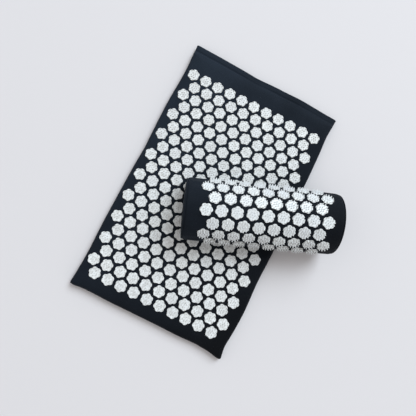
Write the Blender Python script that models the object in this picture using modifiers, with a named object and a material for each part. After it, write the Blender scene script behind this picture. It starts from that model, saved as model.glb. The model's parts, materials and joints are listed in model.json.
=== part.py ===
"""Acupressure mat with its neck pillow: cotton covers over foam, rows of spike discs and two coil zips.

The mat lies flat. The origin is the middle of its underside, +Y runs to its head end, +X across it, +Z up.
"""
from math import atan, atan2, cos, pi, radians, sin

import bmesh
import bpy
from mathutils import Matrix, Vector

# Cloth, foam and fits
CLOTH = 0.0009
FIT_GAP = 0.0003
CORE_GAP = 0.0005
SEAM_LEAN_SHARE = 0.65

# Mat
MAT_WIDTH = 0.415
MAT_LENGTH = 0.689
MAT_FOAM = 0.020
MAT_SEAM_HEIGHT = 0.0085
MAT_SHOULDER = 0.0105
MAT_UNDER_ROUND = 0.008
MAT_CORNER_RADIUS = 0.006
MAT_SIDE_DRAW = 0.0025
CORNER_SOFTEN_SHARE = 0.6

# Empty flap of the cover past the head end of the foam, and its hem, which overhangs the zip
FLAP_DEPTH = 0.016
FLAP_LIP = 0.0021
FLAP_ROLL = 0.0034
FLAP_OVERHANG = 0.0045
FLAP_SLOPE_SHARE = 0.3
FLAP_CREASE_SHARE = 0.6
FOAM_HEAD_SLACK = 0.005

# Spike discs
PETALS = 6
DISC_TIP_RADIUS = 0.015
DISC_VALLEY_SHARE = 0.86
DISC_PLATE = 0.0012
DISC_POINT = 0.0035
DISC_SPACING = 0.0055
ROW_PITCH_SHARE = 0.831

# Bare cloth round the mat's field of discs
HEAD_BARE = 0.0663
FOOT_BARE = 0.029
SIDE_BARE = 0.0095
FIELD_SHIFT_SHARE = 0.36

# Pillow
PILLOW_LENGTH = 0.3726
PILLOW_HEIGHT = 0.105
PILLOW_ARCH_RADIUS = 0.075
PILLOW_SHOULDER = 0.030
PILLOW_SEAM_HEIGHT = 0.008
PILLOW_SIDE_TUCK = 0.0015
PILLOW_WAIST_HEIGHT = 0.019
PILLOW_BASE_ROUND = 0.007
PILLOW_CAP = 0.005
PILLOW_CAP_ROUND = 0.0045
PILLOW_END_DRAW = 0.002
PILLOW_END_REACH = 0.022
PILLOW_ROW_EASE = 0.0008
PILLOW_LEFT_BARE = 0.036
PILLOW_RIGHT_BARE = 0.0195
PILLOW_ROW_LIMIT = radians(75)
PILLOW_ROW_TILT = radians(-4)

# Where the pillow lies on the mat
PILLOW_X = 0.1289
PILLOW_Y = 0.0076
PILLOW_TURN = radians(21.3)

# Zips
ZIP_BAND = 0.0076
ZIP_TAPE = 0.0006
ZIP_SLOT = 0.0011
ZIP_COIL_WIDTH = 0.0015
ZIP_COIL_DEPTH = 0.0012
ZIP_STOP = 0.0018
ZIP_STOP_RISE = 0.0003
ZIP_WINDOW_STEP = 0.0015
MAT_ZIP_MARGIN = 0.028
PILLOW_ZIP_MARGIN = 0.036
SLIDER_LENGTH = 0.008
SLIDER_PLATE = 0.00085
SLIDER_FLANGE = 0.00075
SLIDER_POST_LENGTH = 0.0024
CROWN_LENGTH = 0.0052
CROWN_WIDTH = 0.0012
CROWN_WALL = 0.0006
PULL_PIN = 0.0008
PULL_ARM = 0.001
PULL_LENGTH = 0.018

# Sizes worked out from those above
CORE_INSET = CLOTH + CORE_GAP
SEAM_GAP = FIT_GAP + CLOTH * SEAM_LEAN_SHARE
MAT_TOP = 2 * CORE_INSET + MAT_FOAM
ZIP_WINDOW = ZIP_BAND + 2 * FIT_GAP
FLAP_ZIP_HEIGHT = FLAP_LIP + ZIP_WINDOW / 2
FLAP_TOP = FLAP_LIP + ZIP_WINDOW + FLAP_ROLL
COLUMN_PITCH = 2 * DISC_TIP_RADIUS + DISC_SPACING
ROW_PITCH = COLUMN_PITCH * ROW_PITCH_SHARE
DISC_SEAT = FIT_GAP
DISC_HEIGHT = DISC_PLATE + DISC_POINT
PILLOW_FLOOR = MAT_TOP + DISC_SEAT + DISC_HEIGHT + FIT_GAP
ARCH_RISE = PILLOW_HEIGHT - PILLOW_SHOULDER
ARCH_STEP = 2 * atan((ROW_PITCH + PILLOW_ROW_EASE) / 2 / min(PILLOW_ARCH_RADIUS, ARCH_RISE))
PILLOW_SIDE = PILLOW_ARCH_RADIUS - PILLOW_SIDE_TUCK
MAT_ZIP = MAT_WIDTH - 2 * MAT_ZIP_MARGIN
PILLOW_ZIP = PILLOW_LENGTH - 2 * PILLOW_ZIP_MARGIN

# Depths through a zip, outwards from the face of the cloth that it is sewn behind
TAPE_FACE = -FIT_GAP / 2
TAPE_BACK = TAPE_FACE - ZIP_TAPE
COIL_BACK = FIT_GAP / 2
COIL_FACE = COIL_BACK + ZIP_COIL_DEPTH
SLIDER_FRONT = COIL_FACE + FIT_GAP
SLIDER_FACE = SLIDER_FRONT + SLIDER_PLATE
SLIDER_INNER = TAPE_BACK - FIT_GAP
SLIDER_BACK = SLIDER_INNER - SLIDER_PLATE
PULL_PIN_OUT = SLIDER_FACE + FIT_GAP + PULL_PIN / 2

# How finely the soft shapes are cut
CORNER_STEPS = 4
LONG_SIDE_STEPS = 5
SHORT_SIDE_STEPS = 3
STRAIGHT_SHARE = 0.84
TOP_ANGLES = [radians(a) for a in (0, 30, 55, 75, 90)]
UNDER_ANGLES = [radians(a) for a in (0, 45, 90)]
SMOOTH_ANGLE = radians(35)


def clear_scene():
    for old in list(bpy.data.objects):
        bpy.data.objects.remove(old)


def make_collection(name):
    made = bpy.data.collections.new(name)
    bpy.context.scene.collection.children.link(made)
    return made


def make_material(name, colour, roughness, metallic=0.0):
    made = bpy.data.materials.new(name)
    made.use_nodes = True
    shader = made.node_tree.nodes["Principled BSDF"]
    shader.inputs["Base Color"].default_value = (*colour, 1.0)
    shader.inputs["Roughness"].default_value = roughness
    shader.inputs["Metallic"].default_value = metallic
    return made


def make_empty(name, collection, parent=None, place=(0, 0, 0), turn=0.0):
    made = bpy.data.objects.new(name, None)
    collection.objects.link(made)
    made.parent = parent
    made.location = place
    made.rotation_euler = (0, 0, turn)
    return made


def make_object(name, mesh, material, collection, parent=None):
    """Links a mesh as a named object, shaded smooth where it is round."""
    if not mesh.materials:
        mesh.materials.append(material)
    mesh.shade_smooth()
    mesh.set_sharp_from_angle(angle=SMOOTH_ANGLE)
    made = bpy.data.objects.new(name, mesh)
    collection.objects.link(made)
    made.parent = parent
    return made


def finish_mesh(name, shape):
    mesh = bpy.data.meshes.new(name)
    shape.to_mesh(mesh)
    shape.free()
    return mesh


def thicken(made, thickness):
    """Gives an open surface its cloth, on the side away from its normals."""
    solid = made.modifiers.new("cloth", "SOLIDIFY")
    solid.thickness = thickness
    solid.offset = -1
    solid.use_even_offset = True


def box_mesh(shape, low, high):
    """Adds a box between two corners to a bmesh."""
    low, high = Vector(low), Vector(high)
    size = high - low
    place = Matrix.Translation((low + high) / 2) @ Matrix.Diagonal((*size, 1))
    return bmesh.ops.create_cube(shape, size=1, matrix=place)["verts"]


def box_object(name, low, high, material, collection, parent):
    shape = bmesh.new()
    box_mesh(shape, low, high)
    return make_object(name, finish_mesh(name, shape), material, collection, parent)


def loft(name, rings, closed_rings, cap_first, cap_last):
    """Joins rings of as many points each into one surface, capped where asked."""
    shape = bmesh.new()
    rows = [[shape.verts.new(point) for point in ring] for ring in rings]
    steps = len(rows[0]) if closed_rings else len(rows[0]) - 1
    for lower, upper in zip(rows, rows[1:]):
        for i in range(steps):
            j = (i + 1) % len(lower)
            shape.faces.new((lower[i], lower[j], upper[j], upper[i]))
    if cap_first:
        shape.faces.new(list(reversed(rows[0])))
    if cap_last:
        shape.faces.new(rows[-1])
    return finish_mesh(name, shape)


# Mat covers and foam

def mat_ring(side, head, window=None):
    """Points round the mat, anticlockwise from above, with its sides and its foot drawn in between corners.

    side and head are (inset, height) along the sides and along the head end. window is the height that the
    ring takes along the zip instead, for the ring at the seam.
    """
    radius = MAT_CORNER_RADIUS + side[0] * CORNER_SOFTEN_SHARE
    side_x = MAT_WIDTH / 2 - side[0] - radius
    low_y = side[0] - MAT_LENGTH / 2 + radius
    head_y = MAT_LENGTH / 2 - head[0]
    edge = MAT_ZIP / 2 + FIT_GAP
    reach_x = MAT_WIDTH / 2 * STRAIGHT_SHARE
    reach_y = MAT_LENGTH / 2 * STRAIGHT_SHARE
    points = []

    def add(x, y, height):
        drawn_x = x - MAT_SIDE_DRAW * cos(pi * y / MAT_LENGTH) * (1 if x > 0 else -1)
        drawn_y = y + (MAT_SIDE_DRAW * cos(pi * x / MAT_WIDTH) if y <= low_y else 0)
        points.append((drawn_x, drawn_y, height))

    def corner(centre, start, head_at_start, head_at_end):
        for i in range(CORNER_STEPS + 1):
            t = i / CORNER_STEPS
            angle = start + t * pi / 2
            blend = head_at_start + (head_at_end - head_at_start) * t
            height = side[1] + (head[1] - side[1]) * blend
            add(centre[0] + radius * cos(angle), centre[1] + radius * sin(angle), height)

    def spread(reach, steps):
        return [reach * (2 * i / steps - 1) for i in range(steps + 1)]

    corner((side_x, low_y), -pi / 2, 0, 0)
    for y in spread(reach_y, LONG_SIDE_STEPS):
        add(side_x + radius, y, side[1])
    corner((side_x, head_y - radius), 0, 0, 1)
    for x in (edge + ZIP_WINDOW_STEP, edge, edge / 3, -edge / 3, -edge, -edge - ZIP_WINDOW_STEP):
        height = window if window is not None and abs(x) <= edge else head[1]
        points.append((x, head_y, height))
    corner((-side_x, head_y - radius), pi / 2, 1, 0)
    for y in reversed(spread(reach_y, LONG_SIDE_STEPS)):
        add(-side_x - radius, y, side[1])
    corner((-side_x, low_y), pi, 0, 0)
    for x in spread(reach_x, SHORT_SIDE_STEPS):
        add(x, low_y - radius, side[1])
    return points


def top_profile(angle, offset=0.0, head_offset=0.0):
    """Inset and height of the mat's upper side, at the sides and at the head end of its foam."""
    inset = MAT_SHOULDER - (MAT_SHOULDER - offset) * cos(angle)
    seam = MAT_SEAM_HEIGHT + SEAM_GAP / 2
    height = seam + (MAT_TOP - offset - seam) * sin(angle)
    return (inset, height), (inset + head_offset, height)


def under_profile(angle, offset=0.0, head_offset=0.0):
    """The same for its underside."""
    inset = MAT_UNDER_ROUND - (MAT_UNDER_ROUND - offset) * cos(angle)
    seam = MAT_SEAM_HEIGHT - SEAM_GAP / 2
    height = seam - (seam - offset) * sin(angle)
    return (inset, height), (inset + head_offset, height)


def make_mat_top_panel(cotton, collection):
    crease = FLAP_TOP + (MAT_TOP - FLAP_TOP) * FLAP_CREASE_SHARE
    head_line = [
        (FLAP_OVERHANG, FLAP_ZIP_HEIGHT + SEAM_GAP / 2),
        (0, FLAP_TOP - FLAP_ROLL * FLAP_SLOPE_SHARE),
        (FLAP_DEPTH - FLAP_ROLL, FLAP_TOP),
        (FLAP_DEPTH + FLAP_ROLL, crease),
        (FLAP_DEPTH + MAT_SHOULDER, MAT_TOP),
    ]
    rings = []
    for angle, head in zip(TOP_ANGLES, head_line):
        side = top_profile(angle)[0]
        window = FLAP_LIP + ZIP_WINDOW if angle == 0 else None
        rings.append(mat_ring(side, head, window))
    mesh = loft("mat_top_panel", rings, True, False, True)
    thicken(make_object("mat_top_panel", mesh, cotton, collection), CLOTH)


def make_mat_bottom_panel(cotton, collection):
    head_line = [
        (FLAP_OVERHANG, FLAP_ZIP_HEIGHT - SEAM_GAP / 2),
        (FLAP_OVERHANG, FLAP_LIP * FLAP_SLOPE_SHARE),
        (FLAP_OVERHANG + FLAP_LIP, 0),
    ]
    rings = []
    for angle, head in zip(UNDER_ANGLES, head_line):
        side = under_profile(angle)[0]
        window = FLAP_LIP if angle == 0 else None
        rings.append(mat_ring(side, head, window))
    rings.reverse()
    mesh = loft("mat_bottom_panel", rings, True, True, False)
    thicken(make_object("mat_bottom_panel", mesh, cotton, collection), CLOTH)


def make_mat_foam(foam, collection):
    head = FLAP_DEPTH + FOAM_HEAD_SLACK
    rings = [mat_ring(*under_profile(angle, CORE_INSET, head)) for angle in reversed(UNDER_ANGLES)]
    rings += [mat_ring(*top_profile(angle, CORE_INSET, head)) for angle in TOP_ANGLES]
    make_object("mat_foam_core", loft("mat_foam_core", rings, True, True, True), foam, collection)


# Rows of spike discs

def around(vert):
    """Where a point of a disc lies round its axis."""
    return round(vert.co.to_2d().angle_signed(Vector((1, 0))) % (2 * pi), 4)


def add_disc(shape):
    """Adds a petalled plate with one point on each petal, round the origin, and gives its points back."""
    ring = bmesh.ops.create_circle(shape, cap_ends=True, segments=2 * PETALS, radius=DISC_TIP_RADIUS)["verts"]
    ring.sort(key=around)
    for valley in ring[1::2]:
        valley.co *= DISC_VALLEY_SHARE
    grown = bmesh.ops.extrude_face_region(shape, geom=[ring[0].link_faces[0]])["geom"]
    raised = [v for v in grown if isinstance(v, bmesh.types.BMVert)]
    bmesh.ops.translate(shape, verts=raised, vec=(0, 0, DISC_PLATE))
    top = next(f for f in grown if isinstance(f, bmesh.types.BMFace))
    hub = bmesh.ops.poke(shape, faces=[top])["verts"][0]
    past_valleys = DISC_TIP_RADIUS * (1 + DISC_VALLEY_SHARE) / 2
    to_tips = [e for e in hub.link_edges if e.other_vert(hub).co.to_2d().length > past_valleys]
    bmesh.ops.dissolve_edges(shape, edges=to_tips)
    kites = list(hub.link_faces)
    for kite in kites:
        kite.normal_update()
    up = 1 if kites[0].normal.z > 0 else -1
    points = bmesh.ops.poke(shape, faces=kites, offset=DISC_POINT * up)["verts"]
    return ring + raised + [hub] + points


def row_mesh(name, count):
    """A row of discs in one body, with a web between neighbours."""
    shape = bmesh.new()
    faces_right = []
    faces_left = []
    for i in range(count):
        disc = add_disc(shape)
        place = Matrix.Translation(((i - (count - 1) / 2) * COLUMN_PITCH, 0, 0))
        turn = Matrix.Rotation(-pi / (2 * PETALS), 4, "Z")
        bmesh.ops.transform(shape, matrix=place @ turn, verts=disc)
        walls = {f for v in disc for f in v.link_faces if 0 < f.calc_center_median().z < DISC_PLATE}
        faces_right.append(max(walls, key=lambda f: f.calc_center_median().x))
        faces_left.append(min(walls, key=lambda f: f.calc_center_median().x))
    for right, left in zip(faces_right, faces_left[1:]):
        edges = list(right.edges) + list(left.edges)
        bmesh.ops.delete(shape, geom=[right, left], context="FACES_ONLY")
        bmesh.ops.bridge_loops(shape, edges=edges)
    bmesh.ops.recalc_face_normals(shape, faces=shape.faces)
    return finish_mesh(name, shape)


def fit_count(room, pitch):
    """How many discs or rows fit along a length of the cloth."""
    return 1 + int(room / pitch)


def make_mat_rows(plastic, collection):
    first_y = MAT_LENGTH / 2 - DISC_TIP_RADIUS - HEAD_BARE
    room_y = first_y + MAT_LENGTH / 2 - DISC_TIP_RADIUS - FOOT_BARE
    room_x = MAT_WIDTH - 2 * (DISC_TIP_RADIUS + SIDE_BARE)
    across = fit_count(room_x, COLUMN_PITCH)
    spare = room_x - (across - 1) * COLUMN_PITCH
    meshes = [row_mesh("mat_long_row", across), row_mesh("mat_short_row", across - 1)]
    for k in range(fit_count(room_y, ROW_PITCH)):
        row = make_object(f"mat_disc_row_{k + 1:02d}", meshes[k % 2], plastic, collection)
        row.location = (-spare * FIELD_SHIFT_SHARE, first_y - k * ROW_PITCH, MAT_TOP + DISC_SEAT)


# Pillow

def arch_line(inset, back_height):
    """The arch from its front seam over to its back edge, as (across, height), one flat for each disc row."""
    rows = arch_row_count()
    line = [(inset - PILLOW_SIDE, PILLOW_SEAM_HEIGHT), (inset - waist_half(), PILLOW_WAIST_HEIGHT)]
    for k in range(rows + 1):
        angle = PILLOW_ROW_TILT + (k - rows / 2) * ARCH_STEP
        line.append(arch_point(angle, -inset, 1 / cos(ARCH_STEP / 2)))
    line.append((PILLOW_ARCH_RADIUS - inset, PILLOW_SHOULDER))
    line.append((waist_half() - inset, PILLOW_WAIST_HEIGHT))
    line.append((PILLOW_SIDE - inset, back_height))
    return line


def arch_point(angle, out=0.0, reach=1.0):
    """A point of the arch, out from it by a length and from its centre by a factor, as (across, height)."""
    across = (PILLOW_ARCH_RADIUS + out) * reach * sin(angle)
    return across, PILLOW_SHOULDER + (ARCH_RISE + out) * reach * cos(angle)


def arch_lean(angle):
    """How far the arch leans from level there."""
    return atan2(sin(angle) / PILLOW_ARCH_RADIUS, cos(angle) / ARCH_RISE)


def waist_half():
    """Half the arch's width at its waist, below the shoulder."""
    drop = (PILLOW_SHOULDER - PILLOW_WAIST_HEIGHT) / ARCH_RISE
    return PILLOW_ARCH_RADIUS * (1 - drop**2) ** 0.5


def arch_row_count():
    return 2 * int(PILLOW_ROW_LIMIT / ARCH_STEP) + 1


def base_line(inset, lift):
    """The base from its back seam round to its front seam, as (across, height)."""
    seam = PILLOW_SEAM_HEIGHT - SEAM_GAP
    right = []
    for angle in UNDER_ANGLES:
        across = PILLOW_SIDE - inset - PILLOW_BASE_ROUND * (1 - cos(angle))
        right.append((across, lift + (seam - lift) * (1 - sin(angle))))
    return right + [(-across, height) for across, height in reversed(right)]


def end_draw(from_end):
    """How far the sides draw in near an end."""
    reach = max(0, 1 - from_end / PILLOW_END_REACH)
    return PILLOW_END_DRAW * reach**2


def section(x, line):
    return [(x, across, height) for across, height in line]


def pillow_stations():
    """Places along the pillow for its cover's sections, as (x, back edge height)."""
    half = PILLOW_LENGTH / 2
    zip_half = PILLOW_ZIP / 2 + FIT_GAP
    window_top = PILLOW_SEAM_HEIGHT + ZIP_BAND + FIT_GAP
    cap = half - PILLOW_CAP - SEAM_GAP
    reach = half - PILLOW_END_REACH
    middle = half - (PILLOW_CAP + PILLOW_END_REACH) / 2
    closed, opened = PILLOW_SEAM_HEIGHT, window_top
    right = [(zip_half / 3, opened), (zip_half, opened), (zip_half + ZIP_WINDOW_STEP, closed)]
    right += [(x, closed) for x in (reach, middle, cap)]
    right.sort()
    return [(-x, height) for x, height in reversed(right)] + right


def make_pillow_arch(cotton, collection, pillow):
    half = PILLOW_LENGTH / 2
    rings = [section(x, arch_line(end_draw(half - abs(x)), back)) for x, back in pillow_stations()]
    for ring in rings:
        ring.reverse()
    mesh = loft("pillow_arch_panel", rings, False, False, False)
    thicken(make_object("pillow_arch_panel", mesh, cotton, collection, pillow), CLOTH)


def make_pillow_base(cotton, collection, pillow):
    half = PILLOW_LENGTH / 2
    places = [x for x, _ in pillow_stations() if abs(x) >= half - PILLOW_END_REACH]
    rings = [section(x, base_line(end_draw(half - abs(x)), 0)) for x in places]
    for ring in rings:
        ring.reverse()
    mesh = loft("pillow_base_panel", rings, False, False, False)
    thicken(make_object("pillow_base_panel", mesh, cotton, collection, pillow), CLOTH)


def make_pillow_end(name, way, cotton, collection, pillow):
    """A D-shaped end panel with its edge turned back to the seam. way is 1 at the right end, -1 at the left."""
    half = PILLOW_LENGTH / 2
    rings = []
    for angle in UNDER_ANGLES:
        x = half - PILLOW_CAP * (1 - sin(angle))
        turned = PILLOW_CAP_ROUND * (1 - cos(angle))
        inset = end_draw(PILLOW_CAP) + turned
        line = arch_line(inset, PILLOW_SEAM_HEIGHT)[:-1] + base_line(inset, turned)
        ring = section(way * x, line)
        if way > 0:
            ring.reverse()
        rings.append(ring)
    mesh = loft(name, rings, True, False, True)
    thicken(make_object(name, mesh, cotton, collection, pillow), CLOTH)


def make_pillow_foam(foam, collection, pillow):
    """The half-moon core, relieved low at the back for the inner plate of the slider."""
    half = PILLOW_LENGTH / 2
    relief = PILLOW_SIDE + SLIDER_BACK - FIT_GAP
    cap = half - PILLOW_CAP
    places = [(cap, 0), (half - CORE_INSET, PILLOW_CAP_ROUND)]
    stations = [(-x, more) for x, more in reversed(places)] + places
    rings = []
    for x, more in stations:
        inset = CORE_INSET + end_draw(half - abs(x)) + more
        line = arch_line(inset, PILLOW_SEAM_HEIGHT)
        base = base_line(inset, CORE_INSET + more)
        low = [(min(y, relief) if z <= PILLOW_WAIST_HEIGHT else y, z) for y, z in line[:-1] + base]
        ring = section(x, low)
        ring.reverse()
        rings.append(ring)
    mesh = loft("pillow_foam_core", rings, True, True, True)
    make_object("pillow_foam_core", mesh, foam, collection, pillow)


def make_pillow_rows(plastic, collection, pillow):
    left_bare = DISC_TIP_RADIUS + PILLOW_LEFT_BARE
    room = PILLOW_LENGTH - left_bare - DISC_TIP_RADIUS - PILLOW_RIGHT_BARE
    along = fit_count(room, COLUMN_PITCH)
    middle = left_bare - PILLOW_LENGTH / 2 + (along - 1) * COLUMN_PITCH / 2
    meshes = [row_mesh("pillow_long_row", along), row_mesh("pillow_short_row", along - 1)]
    side = arch_row_count() // 2
    for number, k in enumerate(range(-side, side + 1)):
        angle = PILLOW_ROW_TILT + k * ARCH_STEP
        across, height = arch_point(angle)
        lean = arch_lean(angle)
        row = make_object(f"pillow_disc_row_{number + 1}", meshes[k % 2], plastic, collection, pillow)
        row.location = (middle, across + DISC_SEAT * sin(lean), height + DISC_SEAT * cos(lean))
        row.rotation_euler = (-lean, 0, 0)


# Zips, along X, with +Y outwards, on the outer face of the cloth

def slider_mesh(name):
    """Front plate with flanges over the coils, a post through the slot, an inner plate and the crown."""
    half = SLIDER_LENGTH / 2
    coil_edge = ZIP_SLOT / 2 + ZIP_COIL_WIDTH + FIT_GAP
    wide = coil_edge + SLIDER_FLANGE
    post = ZIP_SLOT / 2 - FIT_GAP
    post_half = SLIDER_POST_LENGTH / 2
    opening = SLIDER_FACE + PULL_PIN + 2 * FIT_GAP
    crown = CROWN_LENGTH / 2
    leg = crown - CROWN_WALL
    rise = opening + CROWN_WALL
    width = CROWN_WIDTH / 2
    pieces = [
        ((-half, SLIDER_FRONT, -wide), (half, SLIDER_FACE, wide)),
        ((-half, COIL_BACK, coil_edge), (half, SLIDER_FACE, wide)),
        ((-half, COIL_BACK, -wide), (half, SLIDER_FACE, -coil_edge)),
        ((-post_half, SLIDER_BACK, -post), (post_half, SLIDER_FACE, post)),
        ((-half, SLIDER_BACK, -coil_edge), (half, SLIDER_INNER, coil_edge)),
        ((leg, SLIDER_FRONT, -width), (crown, rise, width)),
        ((-crown, SLIDER_FRONT, -width), (-leg, rise, width)),
        ((-crown, opening, -width), (crown, rise, width)),
    ]
    return union_mesh(name, pieces)


def union_mesh(name, pieces):
    """One mesh from boxes that overlap, each given by two corners."""
    made = []
    for low, high in pieces:
        shape = bmesh.new()
        box_mesh(shape, low, high)
        piece = bpy.data.objects.new(name, finish_mesh(name, shape))
        bpy.context.scene.collection.objects.link(piece)
        made.append(piece)
    for other in made[1:]:
        join = made[0].modifiers.new("join", "BOOLEAN")
        join.operation = "UNION"
        join.object = other
    bpy.context.view_layer.update()
    joined = bpy.data.meshes.new_from_object(made[0].evaluated_get(bpy.context.evaluated_depsgraph_get()))
    for piece in made:
        bpy.data.objects.remove(piece)
    return joined


def pull_mesh(name):
    """A flat tab on two arms, with the pin that passes under the crown."""
    wide = CROWN_WIDTH / 2 + FIT_GAP + PULL_ARM
    arm = wide - PULL_ARM
    thick = PULL_PIN / 2
    reach = CROWN_LENGTH / 2 + PULL_PIN
    pieces = [
        ((-thick, -thick, -wide), (thick, thick, wide)),
        ((-thick, -thick, arm), (reach + thick, thick, wide)),
        ((-thick, -thick, -wide), (reach + thick, thick, -arm)),
        ((reach, -thick, -wide), (PULL_LENGTH, thick, wide)),
    ]
    return union_mesh(name, pieces)


def make_zip(prefix, length, place, parent, tape_cloth, coil, metal, collection):
    """A closed coil zip, with its slider at the +X end of its chain."""
    band = make_empty(f"{prefix}_zip_band", collection, parent, place)
    slot = ZIP_SLOT / 2
    chain_half = length / 2 - ZIP_STOP - 2 * FIT_GAP
    coil_edge = slot + ZIP_COIL_WIDTH
    for side, low, high in (("upper", slot, ZIP_BAND / 2), ("lower", -ZIP_BAND / 2, -slot)):
        start, end = (-length / 2, TAPE_BACK, low), (length / 2, TAPE_FACE, high)
        box_object(f"{prefix}_zip_tape_{side}", start, end, tape_cloth, collection, band)
    for side, low, high in (("upper", slot, coil_edge), ("lower", -coil_edge, -slot)):
        start, end = (-chain_half, COIL_BACK, low), (chain_half, COIL_FACE, high)
        box_object(f"{prefix}_zip_coil_{side}", start, end, coil, collection, band)
    for side, way in (("right", 1), ("left", -1)):
        near, far = sorted((way * (chain_half + FIT_GAP), way * (chain_half + FIT_GAP + ZIP_STOP)))
        start, end = (near, COIL_BACK, -coil_edge), (far, COIL_FACE + ZIP_STOP_RISE, coil_edge)
        box_object(f"{prefix}_zip_stop_{side}", start, end, metal, collection, band)
    closed = chain_half - SLIDER_LENGTH / 2 - FIT_GAP
    carriage = make_empty(f"{prefix}_zip_carriage", collection, band, (closed, 0, 0))
    make_object(f"{prefix}_zip_slider", slider_mesh(f"{prefix}_slider"), metal, collection, carriage)
    pin = make_empty(f"{prefix}_zip_pull_pin", collection, carriage, (0, PULL_PIN_OUT, 0))
    make_object(f"{prefix}_zip_pull", pull_mesh(f"{prefix}_pull"), metal, collection, pin)


def main():
    clear_scene()
    collection = make_collection("acupressure_mat")
    cotton = make_material("cotton_cover", (0.012, 0.014, 0.020), 0.9)
    plastic = make_material("spike_plastic", (0.80, 0.82, 0.84), 0.35)
    foam = make_material("foam", (0.72, 0.70, 0.64), 0.95)
    tape_cloth = make_material("zip_tape", (0.014, 0.014, 0.016), 0.8)
    coil = make_material("zip_coil", (0.02, 0.02, 0.022), 0.4)
    metal = make_material("zip_metal", (0.10, 0.10, 0.11), 0.35, 1.0)

    make_mat_top_panel(cotton, collection)
    make_mat_bottom_panel(cotton, collection)
    make_mat_foam(foam, collection)
    make_mat_rows(plastic, collection)
    head = (0, MAT_LENGTH / 2 - FLAP_OVERHANG, FLAP_ZIP_HEIGHT)
    make_zip("mat", MAT_ZIP, head, None, tape_cloth, coil, metal, collection)

    pillow = make_empty("pillow_place", collection, None, (PILLOW_X, PILLOW_Y, PILLOW_FLOOR), PILLOW_TURN)
    make_pillow_arch(cotton, collection, pillow)
    make_pillow_base(cotton, collection, pillow)
    make_pillow_end("pillow_end_panel_right", 1, cotton, collection, pillow)
    make_pillow_end("pillow_end_panel_left", -1, cotton, collection, pillow)
    make_pillow_foam(foam, collection, pillow)
    make_pillow_rows(plastic, collection, pillow)
    back = (0, PILLOW_SIDE, PILLOW_SEAM_HEIGHT + ZIP_BAND / 2)
    make_zip("pillow", PILLOW_ZIP, back, pillow, tape_cloth, coil, metal, collection)


main()
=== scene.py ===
"""Looks of an acupressure mat and its neck pillow: cotton covers on foam, spike discs and two coil zips."""
import json
import random
from functools import cache
from math import atan2, ceil, copysign, cos, exp, pi, radians, sin, sqrt

import bmesh
import bpy
from bmesh.types import BMEdge, BMVert
from bpy.props import FloatProperty, FloatVectorProperty, IntProperty, PointerProperty
from bpy.types import Operator, Panel, PropertyGroup
from mathutils import Matrix, Vector, noise
from mathutils.geometry import interpolate_bezier


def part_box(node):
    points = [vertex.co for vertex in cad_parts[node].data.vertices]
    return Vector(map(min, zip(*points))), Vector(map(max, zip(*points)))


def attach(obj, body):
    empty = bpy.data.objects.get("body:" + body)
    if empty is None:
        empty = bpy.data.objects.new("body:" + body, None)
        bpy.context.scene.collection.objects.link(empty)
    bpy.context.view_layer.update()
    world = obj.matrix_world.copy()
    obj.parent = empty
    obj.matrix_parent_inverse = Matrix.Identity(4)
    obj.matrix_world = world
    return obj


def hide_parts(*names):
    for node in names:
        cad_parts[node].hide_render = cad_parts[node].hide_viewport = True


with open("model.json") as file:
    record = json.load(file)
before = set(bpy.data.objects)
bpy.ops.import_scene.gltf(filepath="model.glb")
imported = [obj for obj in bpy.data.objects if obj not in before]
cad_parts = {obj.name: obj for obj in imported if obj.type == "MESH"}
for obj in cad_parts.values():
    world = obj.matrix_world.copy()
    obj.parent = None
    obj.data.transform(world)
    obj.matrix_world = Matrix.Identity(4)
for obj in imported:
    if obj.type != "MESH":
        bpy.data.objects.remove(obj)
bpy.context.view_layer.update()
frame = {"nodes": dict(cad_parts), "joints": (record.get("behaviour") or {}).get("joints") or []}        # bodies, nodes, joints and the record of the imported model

bl_info = {
    "name": "Acupressure Mat and Pillow",
    "version": (1, 0, 0),
    "blender": (4, 5, 0),
    "location": "3D View > Sidebar > Mat",
    "description": "Dresses a spiked massage mat and its pillow in cotton, foam, plastic discs and zips",
    "category": "Object",
}

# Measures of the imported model
MAT_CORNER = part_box("mat_top_panel")[1]
BASE_LOW, BASE_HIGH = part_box("pillow_base_panel")
ZIP_RUN = next(joint["axis"] for joint in frame["joints"] if joint["name"] == "pillow_zip_slide")
PILLOW_MIDDLE = Vector((*((BASE_LOW + BASE_HIGH) / 2).xy, BASE_LOW.z))
PILLOW_PLACE = Matrix.Translation(PILLOW_MIDDLE) @ Matrix.Rotation(atan2(-ZIP_RUN[1], -ZIP_RUN[0]), 4, "Z")
PLACES = {"mat": Matrix.Identity(4), "pillow": PILLOW_PLACE}

# Making of the cloth: its pressure and frames, and how far from a disc's middle it is held still, how far
# it lies flat, and from where on it has its own shape
PRESSURE = 4
SWELL_FRAMES = 20
PIN_RADIUS = 0.0135
FLAT_RADIUS = 0.0150
LOOSE_RADIUS = 0.0185

# Steps round an edge, over the pillow's arch, round its low corners, in a turn of a coil and round a
# slider's crown, and the size of a face in the plain cloth, in the pillow's base and in a tape
EDGE_STEPS = 8
ARCH_STEPS = 46
CORNER_STEPS = 4
COIL_STEPS = 8
CROWN_STEPS = 12
PLAIN_STEP = 0.012
BASE_STEP = 0.014
TAPE_STEP = 0.006

# Seams: how far a panel's edge stays off the panel that it is sewn to, lengths of the coarse and fine
# puckers, how far in from a side and from the hem they are felt, how deep the hem's are, and how much of
# their depth they also rise
PANEL_ROOM = 0.0002
PUCKER_LENGTHS = (0.009, 0.004)
PUCKER_REACH = 0.006
HEM_PUCKER_REACH = 0.009
HEM_PUCKER = 0.8
PUCKER_RISE = 0.4

# Long wrinkles: their length across and along on the mat, and along and round the arch on the pillow, how
# far in from a seam they start and are full on the mat, and after how many rows of points on the pillow
MAT_WRINKLES = (0.045, 0.03)
PILLOW_WRINKLES = (0.03, 0.05)
WRINKLE_FROM, WRINKLE_FULL = 0.004, 0.02
WRINKLE_ROWS = 4

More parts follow.
